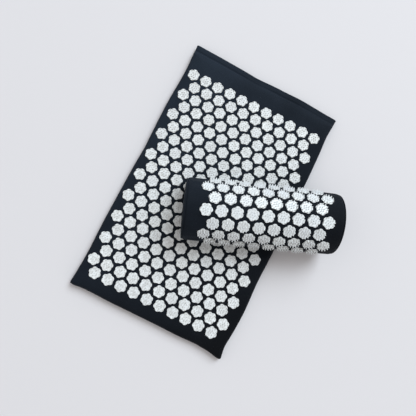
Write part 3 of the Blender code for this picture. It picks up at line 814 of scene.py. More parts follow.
def mat_top_point(sizes, column, row):
    x, share, _ = column
    y, height, tuck, _ = row
    inset = MAT_CORNER.y - y
    seam = seam_level(sizes, y) + HEM_LIFT * (1 - tuck) + sizes.seam_gap / 2
    height -= tuck**2 * zip_closed("mat", x) * (height - seam + sizes.hem_lap)
    side = copysign(1, x)
    from_side, from_foot = MAT_CORNER.x - abs(x), MAT_CORNER.y + y
    loose = 0
    if tuck == 0:
        crease = exp(-(((inset - CREASE_INSET) / CREASE_WIDTH) ** 2))
        height += crease * (swell(CREASE_FILLS, x) + CREASE_UNEVEN * ripple(x / CREASE_LENGTH, 2, 0))
        loose = smooth_step(WRINKLE_FROM, WRINKLE_FULL, min(from_side, from_foot))
    out = puckers(sizes.pucker, y, from_side, PUCKER_REACH, side)
    end_out = puckers(sizes.pucker, x, from_foot, PUCKER_REACH, 7)
    hem_out = puckers(sizes.pucker * HEM_PUCKER, x, inset, HEM_PUCKER_REACH, 11)
    wide, long = MAT_WRINKLES
    z = seam + (height - seam) * share + sizes.wrinkle * loose * ripple(x / wide, y / long, 3)
    x, y = along_zip(sizes, x, y, tuck)
    return Vector((x + side * out, y - end_out + hem_out, z + PUCKER_RISE * (out + end_out) * share))


def flatten_under(point, discs):
    """Lays the cloth flat under the discs, and blends it into its own shape between them."""
    for middle, up in discs:
        away = point - middle
        off = away.dot(up)
        from_middle = (away - up * off).length
        if from_middle < LOOSE_RADIUS and abs(off) < FLAT_RADIUS:
            point = point - up * off * (1 - smooth_step(FLAT_RADIUS, LOOSE_RADIUS, from_middle))
    return point


def near_disc(point, discs):
    return any((point - middle).length < PIN_RADIUS for middle, _ in discs)


def make_mat_top(sizes):
    columns = across_stations(MAT_CORNER.x, sizes.shoulder, sizes.seam_groove, sizes.field_step)
    by_band = {}
    for _, places in mat_disc_rows():
        for place in places:
            band = round(place.translation.y / LOOSE_RADIUS)
            by_band.setdefault(band, []).append((place.translation, Vector((0, 0, 1))))

    def nearby(y):
        band = round(y / LOOSE_RADIUS)
        return [disc for k in (band - 1, band, band + 1) for disc in by_band.get(k, [])]

    def point(column, row):
        place = mat_top_point(sizes, column, row)
        return flatten_under(place, nearby(place.y))

    shape = grid_panel(columns, mat_top_rows(sizes), point)
    piece = finish_piece("mat_top_cover", shape, "cotton_cover", "mat", "mat_top_panel")
    edge = MAT_CORNER.z - EDGE_HOLD
    pinned = [vert.co.z < edge or near_disc(vert.co, nearby(vert.co.y)) for vert in piece.data.vertices]
    swell_cloth(piece, pinned, sizes.puff)
    finish_cloth(piece, sizes.cloth)
    return piece


def mat_under_rows(sizes):
    """Rows of the bottom panel from the foot's seam to the zip's edge, as (place, share down, height)."""
    rows = [(-y, share, 0) for y, share in edge_rings(MAT_CORNER.y, sizes.under_round, sizes.seam_groove)]
    face = zip_middle("mat").y
    flat = spread(sizes.under_round - MAT_CORNER.y, face - UNDER_FLAT, PLAIN_STEP)[1:]
    rows += [(y, 1, 0) for y in flat]
    rows += [(face - inset, 1, height) for inset, height in UNDER_LINE]
    rows.append((face, 1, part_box("mat_zip_tape_lower")[0].z))
    return measured([Vector((0, y, share * sizes.seam_height + height)) for y, share, height in rows], rows)


def make_mat_bottom(sizes):
    columns = across_stations(MAT_CORNER.x, sizes.under_round, sizes.seam_groove, PLAIN_STEP)
    face = zip_middle("mat").y
    rows = mat_under_rows(sizes)

    def point(column, row):
        x, share, _ = column
        y, row_share, height, _ = row
        seam = seam_level(sizes, y) - sizes.seam_gap / 2
        if row is rows[-1]:
            height += (seam - PANEL_ROOM - height) * zip_closed("mat", x)
        z = height + (seam - height) * (1 - share * row_share)
        side = copysign(1, x)
        out = puckers(sizes.pucker, y, MAT_CORNER.x - abs(x), PUCKER_REACH, side)
        end_out = puckers(sizes.pucker, x, MAT_CORNER.y + y, PUCKER_REACH, 7)
        x, y = along_zip(sizes, x, y, smooth_step(face - UNDER_STRAIGHT, face, y))
        return Vector((x + side * out, min(y, face + UNDER_STOP) - end_out, max(0, z)))

    shape = grid_panel(columns, rows, point)
    bmesh.ops.reverse_faces(shape, faces=shape.faces)
    piece = finish_piece("mat_bottom_cover", shape, "cotton_cover", "mat", "mat_bottom_panel")
    finish_cloth(piece, sizes.cloth)
    return piece


def make_mat_foam(sizes):
    low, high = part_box("mat_foam_core")
    inset = Vector((sizes.foam_inset, sizes.foam_inset, sizes.cloth))
    shape = bmesh.new()
    add_box(shape, low + inset, high - inset, sizes.foam_round, 4)
    piece = finish_piece("mat_foam", shape, "foam", "mat", "mat_foam_core")
    return piece


# Spike discs

def petal_radius(sizes, turn):
    """Radius of a disc's outline: round lobes that meet in narrow valleys."""
    petal = 2 * pi / sizes.petals
    off = (turn + petal / 2) % petal - petal / 2
    middle = sizes.tip_radius - sizes.lobe_radius
    return middle * cos(off) + sqrt(sizes.lobe_radius**2 - (middle * sin(off)) ** 2)


def disc_mesh(sizes, point, tip):
    """One disc round the origin: a petalled plate with a bevelled rim and a border without points, and its
    points.
    """
    shape = bmesh.new()
    bmesh.ops.create_circle(shape, segments=8 * sizes.petals, radius=1, cap_ends=True)
    for vert in shape.verts:
        vert.co *= petal_radius(sizes, atan2(vert.co.y, vert.co.x))
    raised = only(BMVert, bmesh.ops.extrude_face_region(shape, geom=shape.faces[:])["geom"])
    bmesh.ops.translate(shape, verts=raised, vec=(0, 0, sizes.plate))
    bevel(shape, [edge for edge in shape.edges if all(vert in raised for vert in edge.verts)], sizes.rim, 1)
    face = max(shape.faces, key=lambda item: item.normal.z * item.calc_area())
    bmesh.ops.inset_individual(shape, faces=[face], thickness=sizes.border, depth=-sizes.dish)
    for x, y in point_places(sizes):
        place = Matrix.Translation((x, y, sizes.plate - sizes.dish - FOOT_DEPTH + point / 2))
        bmesh.ops.create_cone(shape, segments=5, radius1=sizes.point_foot, radius2=tip, depth=point,
                              cap_ends=True, matrix=place)
    return mesh_of("spike_disc", shape)


def unshaded_share(sizes, point, face_unshaded, foot_unshaded):
    """How free of the painted shade a place on a disc is: 1 on its border and the tips of its points, less on
    its face, least at the feet of its points.
    """
    if point.z > sizes.plate + sizes.point / 2:
        return 1.0
    if point.z < sizes.plate - sizes.dish - FOOT_DEPTH / 2:
        return 1.0 if point.z < sizes.plate / 2 else foot_unshaded
    outline = petal_radius(sizes, atan2(point.y, point.x))
    on_border = point.xy.length > outline - sizes.border * UNSHADED_BORDER
    return 1.0 if on_border else face_unshaded


def point_places(sizes):
    """A point in the middle and two rings round it, the outer one with two points to a petal."""
    places = [(0.0, 0.0)]
    for share, count in POINT_RINGS:
        radius = sizes.tip_radius * share
        for i in range(count):
            at = 2 * pi * (i + 0.5) / count
            places.append((radius * cos(at), radius * sin(at)))
    return places


def disc_nodes(body):
    """The CAD nodes of a body's rows of discs, in order."""
    return sorted(name for name in frame["nodes"] if name.startswith(f"{body}_disc_row"))


def row_places(node, pitch):
    """Middles of a row's discs along the row, from where its CAD node lies."""
    low, high = local_box(node)
    count = 1 + round((high.x - low.x - pitch * DISC_SHARE) / pitch)
    middle = (low.x + high.x) / 2
    return [middle + (i - (count - 1) / 2) * pitch for i in range(count)]


def mat_disc_rows():
    """Each row of the mat's discs, as its node and the places of its discs."""
    sizes = bpy.context.scene.disc_sizes
    rows = []
    for node in disc_nodes("mat"):
        low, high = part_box(node)
        y = (low.y + high.y) / 2
        places = [Matrix.Translation((x, y, MAT_CORNER.z)) for x in row_places(node, sizes.pitch)]
        rows.append((node, places))
    return rows


def pillow_disc_rows():
    """The same for the pillow, in its own frame. The rows are numbered from front to back."""
    sizes, pillow = bpy.context.scene.disc_sizes, bpy.context.scene.pillow_sizes
    nodes = disc_nodes("pillow")
    rows = []
    for number, node in enumerate(nodes):
        turn = pillow.row_tilt + (number - (len(nodes) - 1) / 2) * pillow.row_step
        across = pillow.arch_radius * sin(turn)
        height = pillow.shoulder + pillow.arch_radius * cos(turn)
        lean = Matrix.Rotation(-turn, 4, "X")
        places = [Matrix.Translation((x, across, height)) @ lean for x in row_places(node, sizes.pitch)]
        rows.append((node, places))
    return rows


def make_disc_row(node, places, body, disc, unshaded_shares, chance):
    """A row of discs in one piece, each turned, leaning and toned a little by chance."""
    sizes = bpy.context.scene.disc_sizes
    shape = bmesh.new()
    # how free of the painted shade each point of a disc is
    unshaded = [unshaded_share(sizes, vert.co, *unshaded_shares) for vert in disc.vertices]
    tones = []
    for place in places:
        slip = Vector((chance.uniform(-1, 1), chance.uniform(-1, 1), 0)) * sizes.jitter
        spin = Matrix.Rotation(chance.uniform(0, 2 * pi), 4, "Z")
        lean = Matrix.Rotation(chance.uniform(-1, 1) * sizes.tilt, 4, "X")
        seated = Matrix.Translation(slip + Vector((0, 0, sizes.seat)))
        whole = PLACES[body] @ place @ seated @ lean @ spin
        bmesh.ops.transform(shape, matrix=whole, verts=add_mesh(shape, disc))
        tones += [chance.uniform(0, 1)] * len(disc.vertices)
    name = node.replace("disc_row", "spikes")
    piece = finish_piece(name, shape, "spike_plastic", body, node)
    for key, values in (("disc_tone", tones), ("disc_unshaded", unshaded * len(places))):
        piece.data.attributes.new(key, "FLOAT", "POINT").data.foreach_set("value", values)
    piece.data.set_sharp_from_angle(angle=SHARP)


# Pillow cover

def arch_line(sizes, inset):
    """Points over the arch from the front seam to the back seam, as (across, height, 0)."""
    low_side = [Vector((sizes.seam_half, sizes.seam_height, 0))]
    low_side += [Vector((sizes.arch_radius - x, sizes.seam_height + y, 0)) for x, y in LOW_SIDE]
    side = smooth_line([*low_side, Vector((sizes.arch_radius, sizes.shoulder, 0))], 2)
    middle = Vector((0, sizes.shoulder, 0))
    turns = [pi * (i / ARCH_STEPS - 0.5) for i in range(1, ARCH_STEPS)]
    arc = [Vector((sizes.arch_radius * sin(turn), sizes.shoulder + sizes.arch_radius * cos(turn), 0))
           for turn in turns]
    line = [Vector((-point.x, point.y, 0)) for point in side] + arc + side[::-1]
    for i, point in enumerate(line):
        out = point - middle if point.y > sizes.shoulder else Vector((point.x, 0, 0))
        line[i] = point - out.normalized() * inset
    return line


def base_line(sizes, inset):
    """Points round the base from the back seam to the front seam."""
    corner = []
    for i in range(1, CORNER_STEPS + 1):
        turn = pi / 2 * i / CORNER_STEPS
        x = sizes.seam_half - sizes.base_round * (1 - cos(turn)) - inset
        corner.append(Vector((x, (sizes.seam_height - inset) * (1 - sin(turn)) + inset, 0)))
    flat = [Vector((x, inset, 0)) for x in spread(corner[-1].x, -corner[-1].x, BASE_STEP)[1:-1]]
    return corner + flat + [Vector((-point.x, point.y, 0)) for point in reversed(corner)]


def end_draw(sizes, from_end):
    """How far the pillow's sides draw in near an end."""
    return sizes.end_draw * max(0, 1 - from_end / DRAW_REACH) ** 2


def fuller(sizes, point):
    """A point of the pillow, moved out where its right end is fuller."""
    share = smooth_step(FULL_FROM, sizes.half_length - sizes.end_roll, point.x)
    out = sizes.full_end + sizes.full_lean * point.y / sizes.arch_radius
    return point + Vector((share * out, 0, 0))


def pillow_columns(sizes):
    """Stations along the pillow's cover, as (place, how deep in the groove at an end, place on the cut)."""
    cap = sizes.half_length - sizes.end_roll - CAP_GAP
    ends = [(cap - inset, depth) for inset, depth in GROOVE_LINE]
    last = GROOVE_LINE[-1][0]
    field = with_window_ends(spread(last - cap, cap - last, sizes.field_step)[1:-1], "pillow")
    stations = [(-x, depth) for x, depth in ends] + [(x, 0.0) for x in field] + ends[::-1]
    return measured([Vector((x, 0, 0)) for x, _ in stations], stations)


def back_edge(sizes, x):
    """Height of the arch panel's back edge, which is cut out over the zip."""
    over_tape = local_box("pillow_zip_tape_upper")[1].z + TAPE_ROOM
    return sizes.seam_height + (over_tape - sizes.seam_height) * (1 - zip_closed("pillow", x))


def make_pillow_arch(sizes, cloth):
    line = arch_line(sizes, 0)
    rows = measured(line, list(zip(line, range(len(line)))))
    discs = [(place.translation, place.to_3x3() @ Vector((0, 0, 1))) for _, places in pillow_disc_rows()
             for place in places]
    long, wide = PILLOW_WRINKLES

    def point(column, row):
        x, groove, _ = column
        (across, height, _), number, arc = row
        if across > 0 and height < sizes.shoulder:
            reach = (sizes.shoulder - back_edge(sizes, x)) / (sizes.shoulder - sizes.seam_height)
            height = sizes.shoulder - (sizes.shoulder - height) * reach
        out = Vector((0, across, max(0, height - sizes.shoulder))).normalized()
        from_end = sizes.half_length - abs(x)
        on_seam = min(number, len(line) - 1 - number)
        rise = -end_draw(sizes, from_end) - sizes.groove * groove
        seed = copysign(3, x)
        rise += 0.5 * puckers(sizes.pucker, arc, from_end - sizes.end_roll, sizes.pucker_reach, seed)
        rise += sizes.wrinkle * min(1, on_seam / WRINKLE_ROWS) * ripple(x / long, arc / wide, 8)
        rise += sizes.arch_rise * smooth_step(0, RISE_ROWS, on_seam)
        return fuller(sizes, flatten_under(Vector((x, across, height)) + out * rise, discs))

    shape = grid_panel(pillow_columns(sizes), rows, point)
    bmesh.ops.reverse_faces(shape, faces=shape.faces)
    piece = finish_piece("pillow_arch_cover", shape, "cotton_cover", "pillow", "pillow_arch_panel",
                         place=PILLOW_PLACE)
    back = PILLOW_PLACE.inverted()
    pinned = []
    for vert in piece.data.vertices:
        place = back @ vert.co
        on_edge = sizes.half_length - abs(place.x) < END_HOLD or place.z < sizes.seam_height + SEAM_HOLD
        pinned.append(on_edge or near_disc(place, discs))
    swell_cloth(piece, pinned, sizes.puff)
    finish_cloth(piece, cloth)
    return piece


def make_pillow_base(sizes, cloth):
    seam = Vector((sizes.seam_half, sizes.seam_height - PANEL_ROOM, 0))
    line = [seam] + base_line(sizes, 0)[:-1] + [Vector((-seam.x, seam.y, 0))]
    rows = measured(line, [(point,) for point in line])

    def point(column, row):
        x, groove, _ = column
        across, height, _ = row[0]
        drawn = end_draw(sizes, sizes.half_length - abs(x)) + sizes.groove * groove
        across -= copysign(1, across) * smooth_step(0, BASE_DRAW, abs(across)) * drawn
        height += sizes.groove * groove * smooth_step(BASE_GROOVE, 0, height)
        return fuller(sizes, Vector((x, across, height)))

    shape = grid_panel(pillow_columns(sizes), rows, point)
    bmesh.ops.reverse_faces(shape, faces=shape.faces)
    piece = finish_piece("pillow_base_cover", shape, "cotton_cover", "pillow", "pillow_base_panel",
                         place=PILLOW_PLACE)
    finish_cloth(piece, cloth)
    return piece


def add_outline(shape, line, x, filled):
    """Adds a ring of points on a line round the pillow at a place along it, and gives them in order."""
    ring = bmesh.ops.create_circle(shape, segments=len(line), radius=1, cap_ends=filled)["verts"]
    ring.sort(key=lambda vert: -round(atan2(-vert.co.y, -vert.co.x), 4))
    for vert, point in zip(ring, line):
        vert.co = (x, point.x, point.y)
    return ring


def make_pillow_end(sizes, cloth, way, side):
    """A D-shaped end panel: a rolled edge at its seam, and a face that swells a little."""
    draw = end_draw(sizes, sizes.end_roll)
    shape = bmesh.new()
    ring = add_outline(shape, arch_line(sizes, draw) + base_line(sizes, draw)[:-1], 0, False)
    middle = Vector((0, 0, sizes.shoulder + FACE_MIDDLE))
    start = sizes.half_length - sizes.end_roll - PANEL_ROOM
    rings = [(0.0, sizes.groove), *ROLL_RINGS]
    rings += [(sizes.end_roll + out + sizes.bulge * share, inset) for out, share, inset in FACE_RINGS]
    edges = shape.edges[:]
    places = {vert: vert.co.copy() for vert in ring}
    for i, (out, inset) in enumerate(rings):
        if i:
            grown = bmesh.ops.extrude_edge_only(shape, edges=edges)["geom"]
            edges = only(BMEdge, grown)
            places = {vert: nearest_start(vert, places) for vert in only(BMVert, grown)}
        for vert, place in places.items():
            inwards = middle - place
            spot = place + inwards * min(FACE_SHARE, inset / inwards.length)
            vert.co = fuller(sizes, Vector((way * (start + out), spot.y, max(spot.z, 0.0))))
    bmesh.ops.holes_fill(shape, edges=edges, sides=0)
    bmesh.ops.poke(shape, faces=[face for face in shape.faces if len(face.verts) > 4])
    bmesh.ops.recalc_face_normals(shape, faces=shape.faces)
    cut = shape.loops.layers.uv.new("cloth")
    for face in shape.faces:
        for loop in face.loops:
            loop[cut].uv = (loop.vert.co.y, loop.vert.co.z + abs(loop.vert.co.x))
    piece = finish_piece(f"pillow_end_{side}", shape, "cotton_cover", "pillow", f"pillow_end_panel_{side}",
                         place=PILLOW_PLACE)
    finish_cloth(piece, cloth)
    return piece


def nearest_start(vert, places):
    """Where the point that this one grew from started."""
    return min(places.items(), key=lambda item: (item[0].co - vert.co).length_squared)[1]


def make_pillow_foam(sizes):
    shape = bmesh.new()
    line = arch_line(sizes, sizes.foam_inset + sizes.end_draw) + base_line(sizes, sizes.foam_inset)[:-1]
    half = sizes.half_length - sizes.end_roll - sizes.foam_inset
    add_outline(shape, line, -half, True)
    raised = only(BMVert, bmesh.ops.extrude_face_region(shape, geom=shape.faces[:])["geom"])
    bmesh.ops.translate(shape, verts=raised, vec=(2 * half, 0, 0))
    bmesh.ops.recalc_face_normals(shape, faces=shape.faces)
    piece = finish_piece("pillow_foam", shape, "foam", "pillow", "pillow_foam_core", place=PILLOW_PLACE)
    piece.data.set_sharp_from_angle(angle=SHARP)
    return piece


# Zips, along X with +Y outwards, round the middle of their chain

@cache
def zip_middle(prefix):
    """The middle of a zip, on the face of the cloth that it is sewn behind."""
    low, high = (local_box(f"{prefix}_zip_tape_{side}") for side in ("lower", "upper"))
    return Vector((0, high[1].y + FACE_ROOM, (low[1].z + high[0].z) / 2))


def zip_box(prefix, part):
    """Lowest and highest corner of a part of a zip, from the zip's middle."""
    return [corner - zip_middle(prefix) for corner in local_box(f"{prefix}_zip_{part}")]


def zip_half(prefix):
    """Half the length of a zip's window in the cover."""
    return local_box(f"{prefix}_zip_tape_upper")[1].x + TAPE_ROOM


def zip_closed(prefix, x):
    """0 over a zip's window, and 1 past its ends, where the cloth has closed."""
    return smooth_step(zip_half(prefix), zip_half(prefix) + WINDOW_CLOSE, abs(x))


def make_tape(prefix, side, place):
    """A woven tape that lies behind its coil and runs on under the cloth past the window."""
    low, high = zip_box(prefix, f"tape_{side}")
    columns = [(x,) for x in spread(low.x - WINDOW_CLOSE, high.x + WINDOW_CLOSE, TAPE_STEP)]
    rows = [(share, low.z + (high.z - low.z) * share) for share in TAPE_ROWS]

    def point(column, row):
        (x,), (share, z) = column, row
        return Vector((x, high.y - TAPE_SINK + TAPE_RIPPLE * ripple(x / 0.01, share * 2, 1), z))

    shape = grid_panel(columns, rows, point)
    bmesh.ops.recalc_face_normals(shape, faces=shape.faces)
    shape.faces.ensure_lookup_table()
    if shape.faces[0].normal.y < 0:
        bmesh.ops.reverse_faces(shape, faces=shape.faces)
    piece = finish_piece(f"{prefix}_tape_{side}", shape, "zip_tape", prefix, f"{prefix}_zip_tape_{side}",
                         place=place)
    solid = piece.modifiers.new("tape", "SOLIDIFY")
    solid.thickness = (high.y - low.y) * TAPE_SHARE
    solid.offset = -1


def make_coil(sizes, prefix, side, place):
    """A coil of thread wound along the tape's edge, its turns passing between those of the other coil."""
    low, high = zip_box(prefix, f"coil_{side}")
    inner, outer = sorted((copysign(sizes.slot, low.z), high.z if side == "upper" else low.z))
    turns = int((high.x - low.x) / sizes.coil_pitch) - 1
    radius = (high.y - low.y) / 2 - sizes.wire
    start = Matrix.Translation((0, 0, radius)) @ Matrix.Rotation(pi / 2, 4, "X")
    wound = bmesh.new()
    bmesh.ops.create_circle(wound, segments=4, radius=sizes.wire, cap_ends=False, matrix=start)
    sweep(wound, (1, 0, 0), 2 * pi, COIL_STEPS, sizes.coil_pitch)
    turn = mesh_of("turn", wound)
    shape = bmesh.new()
    for i in range(turns):
        bmesh.ops.translate(shape, verts=add_mesh(shape, turn), vec=(i * sizes.coil_pitch, 0, 0))
    bpy.data.meshes.remove(turn)
    bmesh.ops.remove_doubles(shape, verts=shape.verts, dist=sizes.wire / 10)
    fill_ends(shape)
    widen = Matrix.Diagonal((1, 1, (outer - inner) / (high.y - low.y), 1))
    shift = 0.25 if side == "upper" else -0.25
    middle = Vector((-(turns / 2 - shift) * sizes.coil_pitch, (low.y + high.y) / 2, (inner + outer) / 2))
    finish_piece(f"{prefix}_coil_{side}", shape, "zip_coil", prefix, f"{prefix}_zip_coil_{side}",
                 place=place @ Matrix.Translation(middle) @ widen)


def make_stop(sizes, prefix, side, place):
    """A small clamp over both coils."""
    shape = bmesh.new()
    add_box(shape, *zip_box(prefix, f"stop_{side}"), sizes.bevel * 1.4)
    finish_piece(f"{prefix}_stop_{side}", shape, "zip_metal", prefix, f"{prefix}_zip_stop_{side}",
                 place=place)


def make_slider(sizes, prefix, place):
    """Front plate with flanges over the coils, a post, an inner plate and an arched crown."""
    low, high = zip_box(prefix, "slider")
    half = (high.x - low.x) / 2
    coil = zip_box(prefix, "coil_upper")[1]
    tape = zip_box(prefix, "tape_upper")[0]
    front = coil.y + CLEARANCE
    face = front + PLATE
    wall = coil.z + CLEARANCE
    shape = bmesh.new()
    add_box(shape, (-half, front, -high.z), (half, face, high.z), sizes.bevel, 3)
    for way in (-1, 1):
        near, far = sorted((way * wall, way * high.z))
        add_box(shape, (-half, FACE_ROOM, near), (half, face - sizes.bevel, far), sizes.bevel * FLANGE_BEVEL)
    add_box(shape, (-half, low.y, -wall), (half, tape.y - CLEARANCE, wall), sizes.bevel, 3)
    for vert in shape.verts:
        if abs(vert.co.z) > wall * 1.1:
            vert.co.z *= 1 - NARROWING * smooth_step(half * NARROW_FROM, -half, vert.co.x)
    long, thick = POST
    add_box(shape, (-long, low.y + thick, -thick), (long, face - thick, thick), SMALL_BEVEL, 1)
    merge_in(shape, crown_shape(face, high.y))
    piece = finish_piece(f"{prefix}_slider_body", shape, "zip_metal",
                         f"{prefix}_slider", f"{prefix}_zip_slider",
                         place=place @ Matrix.Translation(((low.x + high.x) / 2, 0, 0)))
    piece.data.set_sharp_from_angle(angle=METAL_SHARP)


def crown_shape(base, top):
    """A bent strip over the slider's face, for the pull to hang in."""
    shape = bmesh.new()
    inner = CROWN_REACH - CROWN_WALL
    add_box(shape, (inner, -CROWN_THICK, -CROWN_WALL), (CROWN_REACH, CROWN_THICK, CROWN_WALL))
    bmesh.ops.delete(shape, geom=[face for face in shape.faces if face.normal.y >= -0.5], context="FACES")
    bmesh.ops.translate(shape, verts=shape.verts, vec=(0, CROWN_THICK, 0))
    sweep(shape, (0, 0, 1), pi, CROWN_STEPS)
    fill_ends(shape)
    rise = top - base + CLEARANCE
    for vert in shape.verts:
        vert.co.y = base - CLEARANCE + max(0, vert.co.y) * rise / CROWN_REACH
    return shape


def make_pull(sizes, prefix, place):
    """A tab with a rounded end and a grip, on two arms and a pin under the crown."""
    low, high = zip_box(prefix, "pull")
    thick = (high.y - low.y) / 2
    pin = low.x + thick
    reach = high.x - pin
    wide = high.z
    shape = bmesh.new()
    pin_radius = thick * PIN_SHARE
    bmesh.ops.create_cone(shape, segments=12, radius1=pin_radius, radius2=pin_radius, depth=2 * wide,
                          cap_ends=True)
    for way in (-1, 1):
        near, far = sorted((way * ARM_INNER, way * wide))
        add_box(shape, (-thick, -thick, near), (ARM_END, thick, far), sizes.bevel)
    tab = bmesh.new()
    add_box(tab, (TAB_START, -thick, -wide), (reach, thick, wide))
    corners = [edge for edge in tab.edges if abs(edge.verts[0].co.y - edge.verts[1].co.y) > thick
               and edge.verts[0].co.x > reach / 2]
    bevel(tab, corners, wide * TAB_ROUND, 6)
    bevel(tab, tab.edges[:], sizes.bevel * 0.8, 1)
    merge_in(shape, tab)
    high_y, high_z = thick + GRIP_HEIGHT, wide * GRIP_SPAN
    for i in range(GRIPS):
        at = reach * GRIP_FROM + i * GRIP_PITCH
        add_box(shape, (at, -high_y, -high_z), (at + GRIP_WIDTH, high_y, high_z), SMALL_BEVEL, 1)
    piece = finish_piece(f"{prefix}_pull_tab", shape, "zip_metal", f"{prefix}_pull", f"{prefix}_zip_pull",
                         place=place @ Matrix.Translation((pin, (low.y + high.y) / 2, 0)))
    piece.data.set_sharp_from_angle(angle=METAL_SHARP)


def make_zip(sizes, prefix):
    place = PLACES[prefix] @ Matrix.Translation(zip_middle(prefix))
    for side in ("upper", "lower"):
        make_tape(prefix, side, place)
        make_coil(sizes, prefix, side, place)
    for side in ("left", "right"):
        make_stop(sizes, prefix, side, place)
    make_slider(sizes, prefix, place)
    make_pull(sizes, prefix, place)


# Stage

def make_floor(studio):
    """A wide pale floor that keeps shadows."""
    shape = bmesh.new()
    bmesh.ops.create_grid(shape, x_segments=1, y_segments=1, size=FLOOR_HALF)
    floor = link_object("floor", mesh_of("floor", shape))
    floor.location.z = -FLOOR_DROP
    material = bpy.data.materials.new("floor")
    material.use_nodes = True
    plug(material.node_tree, material.node_tree.nodes["Principled BSDF"],
         [("Base Color", (*studio.floor, 1)), ("Roughness", 0.9), ("Specular IOR Level", 0.1)])
    floor.data.materials.append(material)


def make_world(studio):
    """Even light from all round, which the camera and gloss see as the floor's colour."""
    world = bpy.data.worlds.new("studio")
    world.use_nodes = True
    tree = world.node_tree
    light = tree.nodes["Background"]
    plug(tree, light, [("Color", (*WORLD_TINT, 1)), ("Strength", studio.world)])
    seen = add_node(tree, "ShaderNodeBackground", [("Color", (*studio.floor, 1))])
    path = add_node(tree, "ShaderNodeLightPath").outputs
    direct = maths(tree, "MAXIMUM", path["Is Camera Ray"], path["Is Glossy Ray"])
    direct = maths(tree, "MAXIMUM", direct, path["Is Transmission Ray"])
    mix = add_node(tree, "ShaderNodeMixShader", enumerate((direct, light.outputs[0], seen.outputs[0])))
    plug(tree, tree.nodes["World Output"], [("Surface", mix.outputs[0])])
    bpy.context.scene.world = world


def make_lamp(studio):
    """A square soft lamp that faces the mat."""
    data = bpy.data.lights.new("key", "AREA")
    data.energy = studio.key
    data.size = KEY_SIZE
    data.color = KEY_TINT
    lamp = link_object("key", data)
    towards = Vector((*(Vector(KEY_WAY).normalized() * cos(KEY_LIFT)), sin(KEY_LIFT)))
    lamp.location = towards * KEY_DISTANCE
    lamp.rotation_euler = towards.to_track_quat("Z", "Y").to_euler()


def make_camera(studio):
    """The photograph's view: from above, a little off the mat's middle, and turned."""
    data = bpy.data.cameras.new("camera")
    data.lens = studio.lens
    camera = link_object("camera", data)
    camera.location = CAMERA_PLACE
    camera.rotation_euler = CAMERA_TURN
    bpy.context.scene.camera = camera


# Operators

class MAT_OT_cover(Operator):
    """Make the mat's cotton cover"""
    bl_idname = "mat.cover"
    bl_label = "Mat cover"

    def execute(self, context):
        make_mat_top(context.scene.mat_sizes)
        make_mat_bottom(context.scene.mat_sizes)
        return {"FINISHED"}


class MAT_OT_foam(Operator):
    """Make the mat's foam core"""
    bl_idname = "mat.foam"
    bl_label = "Mat foam"

    def execute(self, context):
        make_mat_foam(context.scene.mat_sizes)
        return {"FINISHED"}


class MAT_OT_discs(Operator):
    """Make the mat's rows of spike discs"""
    bl_idname = "mat.discs"
    bl_label = "Mat discs"

    def execute(self, context):
        sizes = context.scene.disc_sizes
        disc = disc_mesh(sizes, sizes.point, sizes.point_tip)
        chance = random.Random(DISC_SEEDS["mat"])
        for node, places in mat_disc_rows():
            make_disc_row(node, places, "mat", disc, MAT_UNSHADED, chance)
        return {"FINISHED"}


class MAT_OT_zip(Operator):
    """Make the zip under the mat's hem"""
    bl_idname = "mat.zip"
    bl_label = "Mat zip"

    def execute(self, context):
        make_zip(context.scene.zip_sizes, "mat")
        return {"FINISHED"}


class PILLOW_OT_cover(Operator):
    """Make the pillow's cotton cover"""
    bl_idname = "pillow.cover"
    bl_label = "Pillow cover"

    def execute(self, context):
        sizes, cloth = context.scene.pillow_sizes, context.scene.mat_sizes.cloth
        make_pillow_arch(sizes, cloth)
        make_pillow_base(sizes, cloth)
        make_pillow_end(sizes, cloth, -1, "left")
        make_pillow_end(sizes, cloth, 1, "right")
        return {"FINISHED"}


class PILLOW_OT_foam(Operator):
    """Make the pillow's foam core"""
    bl_idname = "pillow.foam"
    bl_label = "Pillow foam"

    def execute(self, context):
        make_pillow_foam(context.scene.pillow_sizes)
        return {"FINISHED"}


class PILLOW_OT_discs(Operator):
    """Make the pillow's rows of spike discs"""
    bl_idname = "pillow.discs"
    bl_label = "Pillow discs"

    def execute(self, context):
        sizes = context.scene.disc_sizes
        disc = disc_mesh(sizes, sizes.pillow_point, sizes.pillow_tip)
        chance = random.Random(DISC_SEEDS["pillow"])
        for number, (node, places) in enumerate(pillow_disc_rows()):
            # painted shade: heavier on the pillow's front rows, which face away from the lamp, and lighter on
            # its back rows
            up = min(1, number / UNSHADED_FROM)
            unshaded = [front + (back - front) * up for front, back in zip(FRONT_UNSHADED, BACK_UNSHADED)]
            make_disc_row(node, places, "pillow", disc, unshaded, chance)
        return {"FINISHED"}


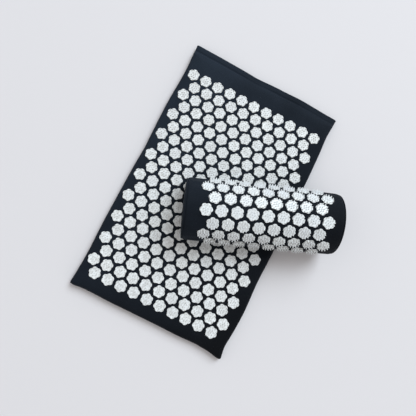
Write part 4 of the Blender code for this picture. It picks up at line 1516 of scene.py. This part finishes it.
class PILLOW_OT_zip(Operator):
    """Make the zip on the pillow's far side"""
    bl_idname = "pillow.zip"
    bl_label = "Pillow zip"

    def execute(self, context):
        make_zip(context.scene.zip_sizes, "pillow")
        return {"FINISHED"}


class STUDIO_OT_stage(Operator):
    """Set the floor, the world, the lamp and the camera"""
    bl_idname = "studio.stage"
    bl_label = "Stage"

    def execute(self, context):
        studio = context.scene.studio
        make_floor(studio)
        make_world(studio)
        make_lamp(studio)
        make_camera(studio)
        context.scene.view_settings.view_transform = "Standard"
        return {"FINISHED"}


class VIEW3D_PT_mat(Panel):
    """Buttons for every piece of the mat and its pillow"""
    bl_label = "Acupressure mat"
    bl_space_type = "VIEW_3D"
    bl_region_type = "UI"
    bl_category = "Mat"

    def draw(self, context):
        for operator in OPERATORS:
            self.layout.operator(operator.bl_idname)
        for name in GROUPS:
            box = self.layout.box()
            box.label(text=name.replace("_", " "))
            for item in getattr(context.scene, name).bl_rna.properties:
                if item.identifier not in ("rna_type", "name"):
                    box.prop(getattr(context.scene, name), item.identifier)


OPERATORS = (MAT_OT_cover, MAT_OT_foam, MAT_OT_discs, MAT_OT_zip, PILLOW_OT_cover, PILLOW_OT_foam,
             PILLOW_OT_discs, PILLOW_OT_zip, STUDIO_OT_stage)
GROUPS = {
    "mat_sizes": MatSizes,
    "disc_sizes": DiscSizes,
    "pillow_sizes": PillowSizes,
    "zip_sizes": ZipSizes,
    "mat_finishes": Finishes,
    "studio": Studio,
}


def register():
    for item in (*GROUPS.values(), *OPERATORS, VIEW3D_PT_mat):
        bpy.utils.register_class(item)
    for name, group in GROUPS.items():
        setattr(bpy.types.Scene, name, PointerProperty(type=group))


def unregister():
    for name in GROUPS:
        delattr(bpy.types.Scene, name)
    for item in reversed((*GROUPS.values(), *OPERATORS, VIEW3D_PT_mat)):
        bpy.utils.unregister_class(item)


def main():
    register()
    bpy.ops.mat.cover()
    bpy.ops.mat.foam()
    bpy.ops.mat.discs()
    bpy.ops.mat.zip()
    bpy.ops.pillow.cover()
    bpy.ops.pillow.foam()
    bpy.ops.pillow.discs()
    bpy.ops.pillow.zip()
    bpy.ops.studio.stage()


if __name__ == "__main__":
    main()
